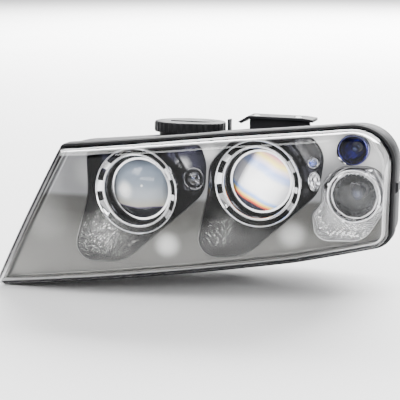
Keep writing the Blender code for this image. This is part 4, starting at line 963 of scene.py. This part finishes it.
def make_turn_lamp():
    bore, outer, depth = TURN_BORE_R, TURN_RING_R, 0.0157
    ring = [(bore, 0.0014), (bore + 0.0003, 0.0006), (bore + 0.0010, 0.0001), (outer - 0.0010, 0.0001),
            (outer - 0.0003, 0.0006),
            (outer, 0.0014), (outer, depth), (bore, depth)]

    lug = [(0, -0.0024), (0.0018, -0.0024), (0.0026, -0.0014), (0.0026, 0.003), (0, 0.003)]
    lugs = []
    for angle in (156, -17, 62, 250):
        a = math.radians(angle)
        at = TURN + Vector((math.cos(a) * (outer - 0.0008), 0.0022, math.sin(a) * (outer - 0.0008)))
        lugs.append(("UNION", turned_at(lug, at, segments=24)))
    piece("turn_bezel_ring", turned_at(ring, TURN, segments=128), CHROME, nodes=("turn_ring",),
          smooth=40, cutters=lugs)

    def flutes(angle, radius, along):
        reach = ease((radius - 0.0165) / 0.002) * ease((0.0262 - radius) / 0.002)
        return radius, along - 0.0004 * reach * abs(math.cos(15 * angle)) ** 0.6

    r = bore - 0.0004
    face = [(0, 0.0014)]
    for k in range(1, 22):
        groove = 0.0008 * math.exp(-((k / 22 - 0.52) / 0.035) ** 2)
        face.append((r * k / 22, 0.0014 + 0.0030 * (k / 22) ** 2 - groove))
    lens = face + [(r, 0.0044), (r, 0.0066), (r * 0.8, 0.0056), (r * 0.5, 0.0042), (0, 0.0036)]
    piece("turn_cover", lambda bm: turned(bm, lens, TURN, segments=180, wave=flutes), INNER_CLEAR,
          nodes=("turn_inner_lens",), smooth=50)

    cup, neck, deep, wall = bore - 0.0012, 0.0095, 0.042, 0.0015

    inner = curve([(cup - wall, 0.0075), (cup - wall, 0.014), (cup * 0.80, 0.026), (cup * 0.56, 0.036),
                   (neck, deep)], 4)
    bowl = inner + [(neck + wall, deep), (cup * 0.66 + wall, 0.0365), (cup * 0.92 + wall * 0.4, 0.0270),
                    (cup, 0.0200), (cup, 0.0075)]

    def facets(angle, radius, along):
        """Ten flats inside the bowl, between its lip and its neck."""
        if (radius, along) in inner and neck + 0.003 < radius < cup - wall + 1e-6 and along < deep - 0.001:
            radius *= 1 - 0.03 * abs(math.sin(5 * angle))
        return radius, along

    piece("turn_bowl", lambda bm: turned(bm, bowl, TURN, segments=120, wave=facets), TURN_BOWL_MIRROR,
          nodes=("turn_reflector",), smooth=18)


def make_position_lamp():
    r, wall, depth, neck = POSITION_R, 0.0020, 0.026, 0.0062
    cup = [(r - wall, 0.0012), (r - wall * 0.8, 0.0004), (r - wall / 2, 0.0000), (r - wall * 0.2, 0.0004),
           (r, 0.0012),
           (r, 0.0140), (r * 0.86, 0.0200), (neck + wall, depth), (neck, depth), (r * 0.52, 0.0232),
           (r * 0.70, 0.0192),
           (r - wall - 0.0014, 0.0150), (r - wall - 0.0004, 0.0125), (r - wall - 0.0014, 0.0110),
           (r - wall - 0.0002, 0.0095)]
    piece("position_cup", turned_at(cup, POSITION, segments=96), POSITION_MIRROR,
          nodes=("position_reflector",), smooth=35)


def small_bulb(name, node, centre, length, radius):
    """A capless glass bulb: a domed tip and a pinched base."""
    tip = [(0, 0), (radius * 0.5, length * 0.02), (radius * 0.87, length * 0.10), (radius, length * 0.24)]
    profile = curve(tip, 4) + [(radius, length * 0.62), (radius * 0.75, length * 0.74),
        (radius * 0.7, length * 0.80),
                               (radius * 0.75, length), (0, length)]
    piece(name, turned_at(profile, centre, segments=32), BULB, CASE, (node,), smooth=40)


def make_pocket_lamps():
    r = MARKER_R
    cup = [(0, 0.0125), (r * 0.5, 0.0123), (r * 0.85, 0.0100), (r + 0.0004, 0.0066), (r + 0.0004, 0.0006),
           (r + 0.0008, 0),
           (r + 0.0014, 0), (r + 0.0018, 0.0006), (r + 0.0018, 0.008), (r * 0.6, 0.014), (0, 0.014)]
    piece("marker_cup", turned_at(cup, MARKER, segments=64), CUP_MIRROR, nodes=("marker_reflector",),
          smooth=40)
    steps = 16
    arc = [math.pi / 2 * k / steps for k in range(steps + 1)]
    dome = [(r * math.sin(a), 0.002 - 0.95 * r * math.cos(a)) for a in arc]
    inner = [((r - 0.001) * math.sin(a), 0.002 - (0.95 * r - 0.001) * math.cos(a)) for a in arc]
    piece("marker_glass", lambda bm: turned(bm, dome + inner[::-1], MARKER, segments=64), INNER_CLEAR,
          nodes=("marker_dome",), smooth=50)
    small_bulb("marker_lamp_bulb", "marker_bulb", MARKER + Vector((0, -0.004, 0)), 0.0162, 0.0032)
    small_bulb("pilot_lamp_bulb", "pilot_bulb", PILOT + Vector((0, -0.0010, 0)), 0.0076, 0.0028)
    r = SIDE_R
    dish = [(0, 0.0085), (r * 0.32, 0.0079), (r * 0.60, 0.0062), (r * 0.80, 0.0036), (r - 0.0010, 0.0005),
            (r - 0.0004, -0.0005),
            (r, 0.0005), (r, 0.0065), (r * 0.6, 0.0100), (0, 0.0100)]
    piece("side_dish", lambda bm: turned(bm, dish, SIDE, segments=20, stretch=SIDE_STRETCH), CHROME,
          nodes=("side_reflector",), smooth=8)
    r = PILOT_R
    ring = [(0, 0.0085), (r - 0.0034, 0.0080), (r - 0.0022, 0.0064), (r - 0.0015, -0.0006),
            (r - 0.0011, -0.0016), (r - 0.0006, -0.0020),
            (r - 0.0002, -0.0016), (r, -0.0008), (r, 0.0065), (r * 0.6, 0.0100), (0, 0.0100)]
    piece("pilot_cup", turned_at(ring, PILOT, segments=48), CHROME, nodes=("pilot_reflector",),
          smooth=40)


# ---------------------------------------------------------------- caps, bracket and the rest

def service_cap(name, node, body, place, direction):
    """A round screw-on cap: gripped wall, dished top and a finger bar."""
    under, bore = 2 * GAP + 0.0014, CAP_BOSS_R + 0.0007

    def grips(angle, radius, along):
        ribbed = radius > CAP_R - 0.0003 and -0.0072 < along < 0.0032
        return radius - (0.0008 * (math.cos(36 * angle) > 0) if ribbed else 0), along

    cap = [
        (0, 0.0038), (0.026, 0.0038), (0.0275, 0.0042), (0.0285, CAP_TOP - 0.0003), (0.0295, CAP_TOP),
        (CAP_R - 0.0030, CAP_TOP),
        (CAP_R - 0.0014, CAP_TOP - 0.0004), (CAP_R - 0.0005, CAP_TOP - 0.0013), (CAP_R, CAP_TOP - 0.0024),
        (CAP_R, -0.0060),
        (CAP_R - 0.0006, -0.0066), (CAP_R - 0.0006, CAP_LOWEST), (bore, CAP_LOWEST), (bore, under),
        (0, under),
    ]
    spin = Vector((0, 0, 1)).rotation_difference(direction).to_matrix()

    def bar(bm):
        made = bmesh.new()
        block(made, (0, 0, 0.0040), (0.048, 0.0045, 0.0018))
        for vert in made.verts:
            vert.co = place + spin @ vert.co
        mesh = bpy.data.meshes.new("bar")
        made.to_mesh(mesh)
        made.free()
        bm.from_mesh(mesh)

    piece(name, lambda bm: turned(bm, cap, place, direction, 288, wave=grips), CAP_SKIN, body, (node,),
          smooth=35, cutters=[("UNION", bar)])


def make_rest():
    service_cap("top_service_cap", "top_cap", "top_cap", TOP_CAP, TOP_UP)
    service_cap("rear_service_cap", "rear_cap", "rear_cap", REAR_CAP, Vector((0, 1, 0)))
    for surface, bevel, nodes in (
        (RUBBER, 0.0003, "top_cap_seal rear_cap_seal vent_cap"),
        (HOUSING_SKIN, 0.0006, "top_bracket"),
        (ZINC, 0.0003, "bracket_screw_1 bracket_screw_2"),
        (CASE_ALLOY, 0.0012, "xenon_ballast"),
        (CASE_ALLOY, 0.0010, "xenon_igniter"),
        (ZINC, 0.0003, "ballast_screw_1 ballast_screw_2 ballast_screw_3 ballast_screw_4"),
        (SOCKET, 0.0005, "main_connector levelling_motor shutter_solenoid high_beam_plug"),
        (SOCKET, 0.0005, "turn_bulb_holder position_bulb_holder"),
        (ALLOY, 0.0008, "projector_carrier"),
        (ZINC, 0.0003, "pivot_cross"),
        (NYLON, 0.0006, "pivot_bracket"),
        (ZINC, 0, "levelling_rod aim_spindle"),
        (NYLON, 0.0003, "aim_knob"),
        (BLACK_STEEL, 0, "beam_shutter"),
        (BULB, 0, "turn_bulb position_bulb"),
    ):
        for node in nodes.split():
            dress(node, surface, bevel)


# Painted reflection: the position lamp's blue cup is painted lighter towards the top.
POSITION_MIRROR = mirror("position_mirror", ((0, (0.05, 0.05, 0.22)), (0.5, (0.05, 0.05, 0.20)),
    (1, (0.16, 0.17, 0.34))),
                         POSITION.z, 0.018, (0.05, 0.14))
# Painted reflection: the turn bowl is painted lighter at the bottom than the top, and near-black at its
# middle as painted shade.
TURN_BOWL_MIRROR = mirror("turn_bowl_mirror", ((0, (0.55, 0.55, 0.55)), (1, (0.40, 0.40, 0.42))), TURN.z,
    0.03, (0.04, 0.10),
                          well=(TURN, 0.0150))
make_housing()
make_front()
make_pockets()
make_projectors()
make_turn_lamp()
make_position_lamp()
make_pocket_lamps()
make_rest()


# ---------------------------------------------------------------- floor, light and camera

def make_stage():
    ground = CAD_BOX[0].z - 0.0001

    outline = [(-20, -20), (20, -20), (20, 40), (-20, 40)]
    floor = modelled("studio_floor", lambda bm: prism(bm, outline, "Z", ground - 0.02, ground))
    made = plastic("pale_floor", (0.90, 0.90, 0.90), (0.93, 0.93, 0.93), (0.7, 0.9), 60, 0.0002, mottle=1.5,
                   specular=0.2)
    floor.data.materials.append(made)


def lamp(name, place, target, size, power):
    data = bpy.data.lights.new(name, "AREA")
    data.shape = "RECTANGLE"
    data.size, data.size_y = size
    data.energy = power
    obj = linked(name, data)
    obj.location = place
    obj.rotation_euler = (Vector(target) - Vector(place)).to_track_quat("-Z", "Y").to_euler()


def make_light():
    world = bpy.data.worlds.new("studio")
    bpy.context.scene.world = world
    world.use_nodes = True
    tree = world.node_tree
    back = tree.nodes["Background"]
    parts = add_node(tree, "SeparateXYZ", {0: add_node(tree, "TexCoord").outputs["Generated"]})
    share = add_node(tree, "MapRange", {"Value": parts.outputs["Z"], "From Min": -1.0})
    greys = ((0.0, 0.30), (0.49, 0.45), (0.51, 1.0), (0.60, 1.0), (0.64, 0.16), (0.74, 0.10), (0.78, 0.9),
             (1.0, 1.0))
    stops = [(where, (grey, grey, grey * 1.01)) for where, grey in greys]
    tree.links.new(ramp(tree, share.outputs["Result"], stops), back.inputs["Color"])
    back.inputs["Strength"].default_value = 0.9
    lamp("key_softbox", (-0.9, -1.1, 1.3), (0, 0, 0.08), (0.9, 0.7), 20)
    lamp("front_strip", (0.2, -1.7, 0.85), (0, -0.1, 0.08), (1.4, 0.3), 12)
    lamp("side_strip", (1.4, -0.5, 0.6), (0.1, -0.1, 0.08), (0.3, 1.0), 12)
    lamp("back_fill", (0.2, 1.5, 1.2), (0, 0.4, 0.0), (1.6, 1.2), 12)
    lamp("floor_wash", (0, 5.5, 3.5), (0, 5.0, 0.0), (7.0, 5.0), 3000)


def make_camera():
    azimuth, elevation, distance = math.radians(20), math.radians(12), 1.200
    target = Vector((0, -0.147, 0.097))
    away = Vector((math.sin(azimuth) * math.cos(elevation), -math.cos(azimuth) * math.cos(elevation),
                   math.sin(elevation)))
    data = bpy.data.cameras.new("photo_camera")
    data.sensor_width = 36.0
    data.lens = 98.2
    data.clip_start, data.clip_end = 0.01, 200
    camera = linked("photo_camera", data)
    camera.location = target + away * distance
    camera.rotation_euler = (-away).to_track_quat("-Z", "Y").to_euler()
    bpy.context.scene.camera = camera


make_stage()
make_light()
make_camera()
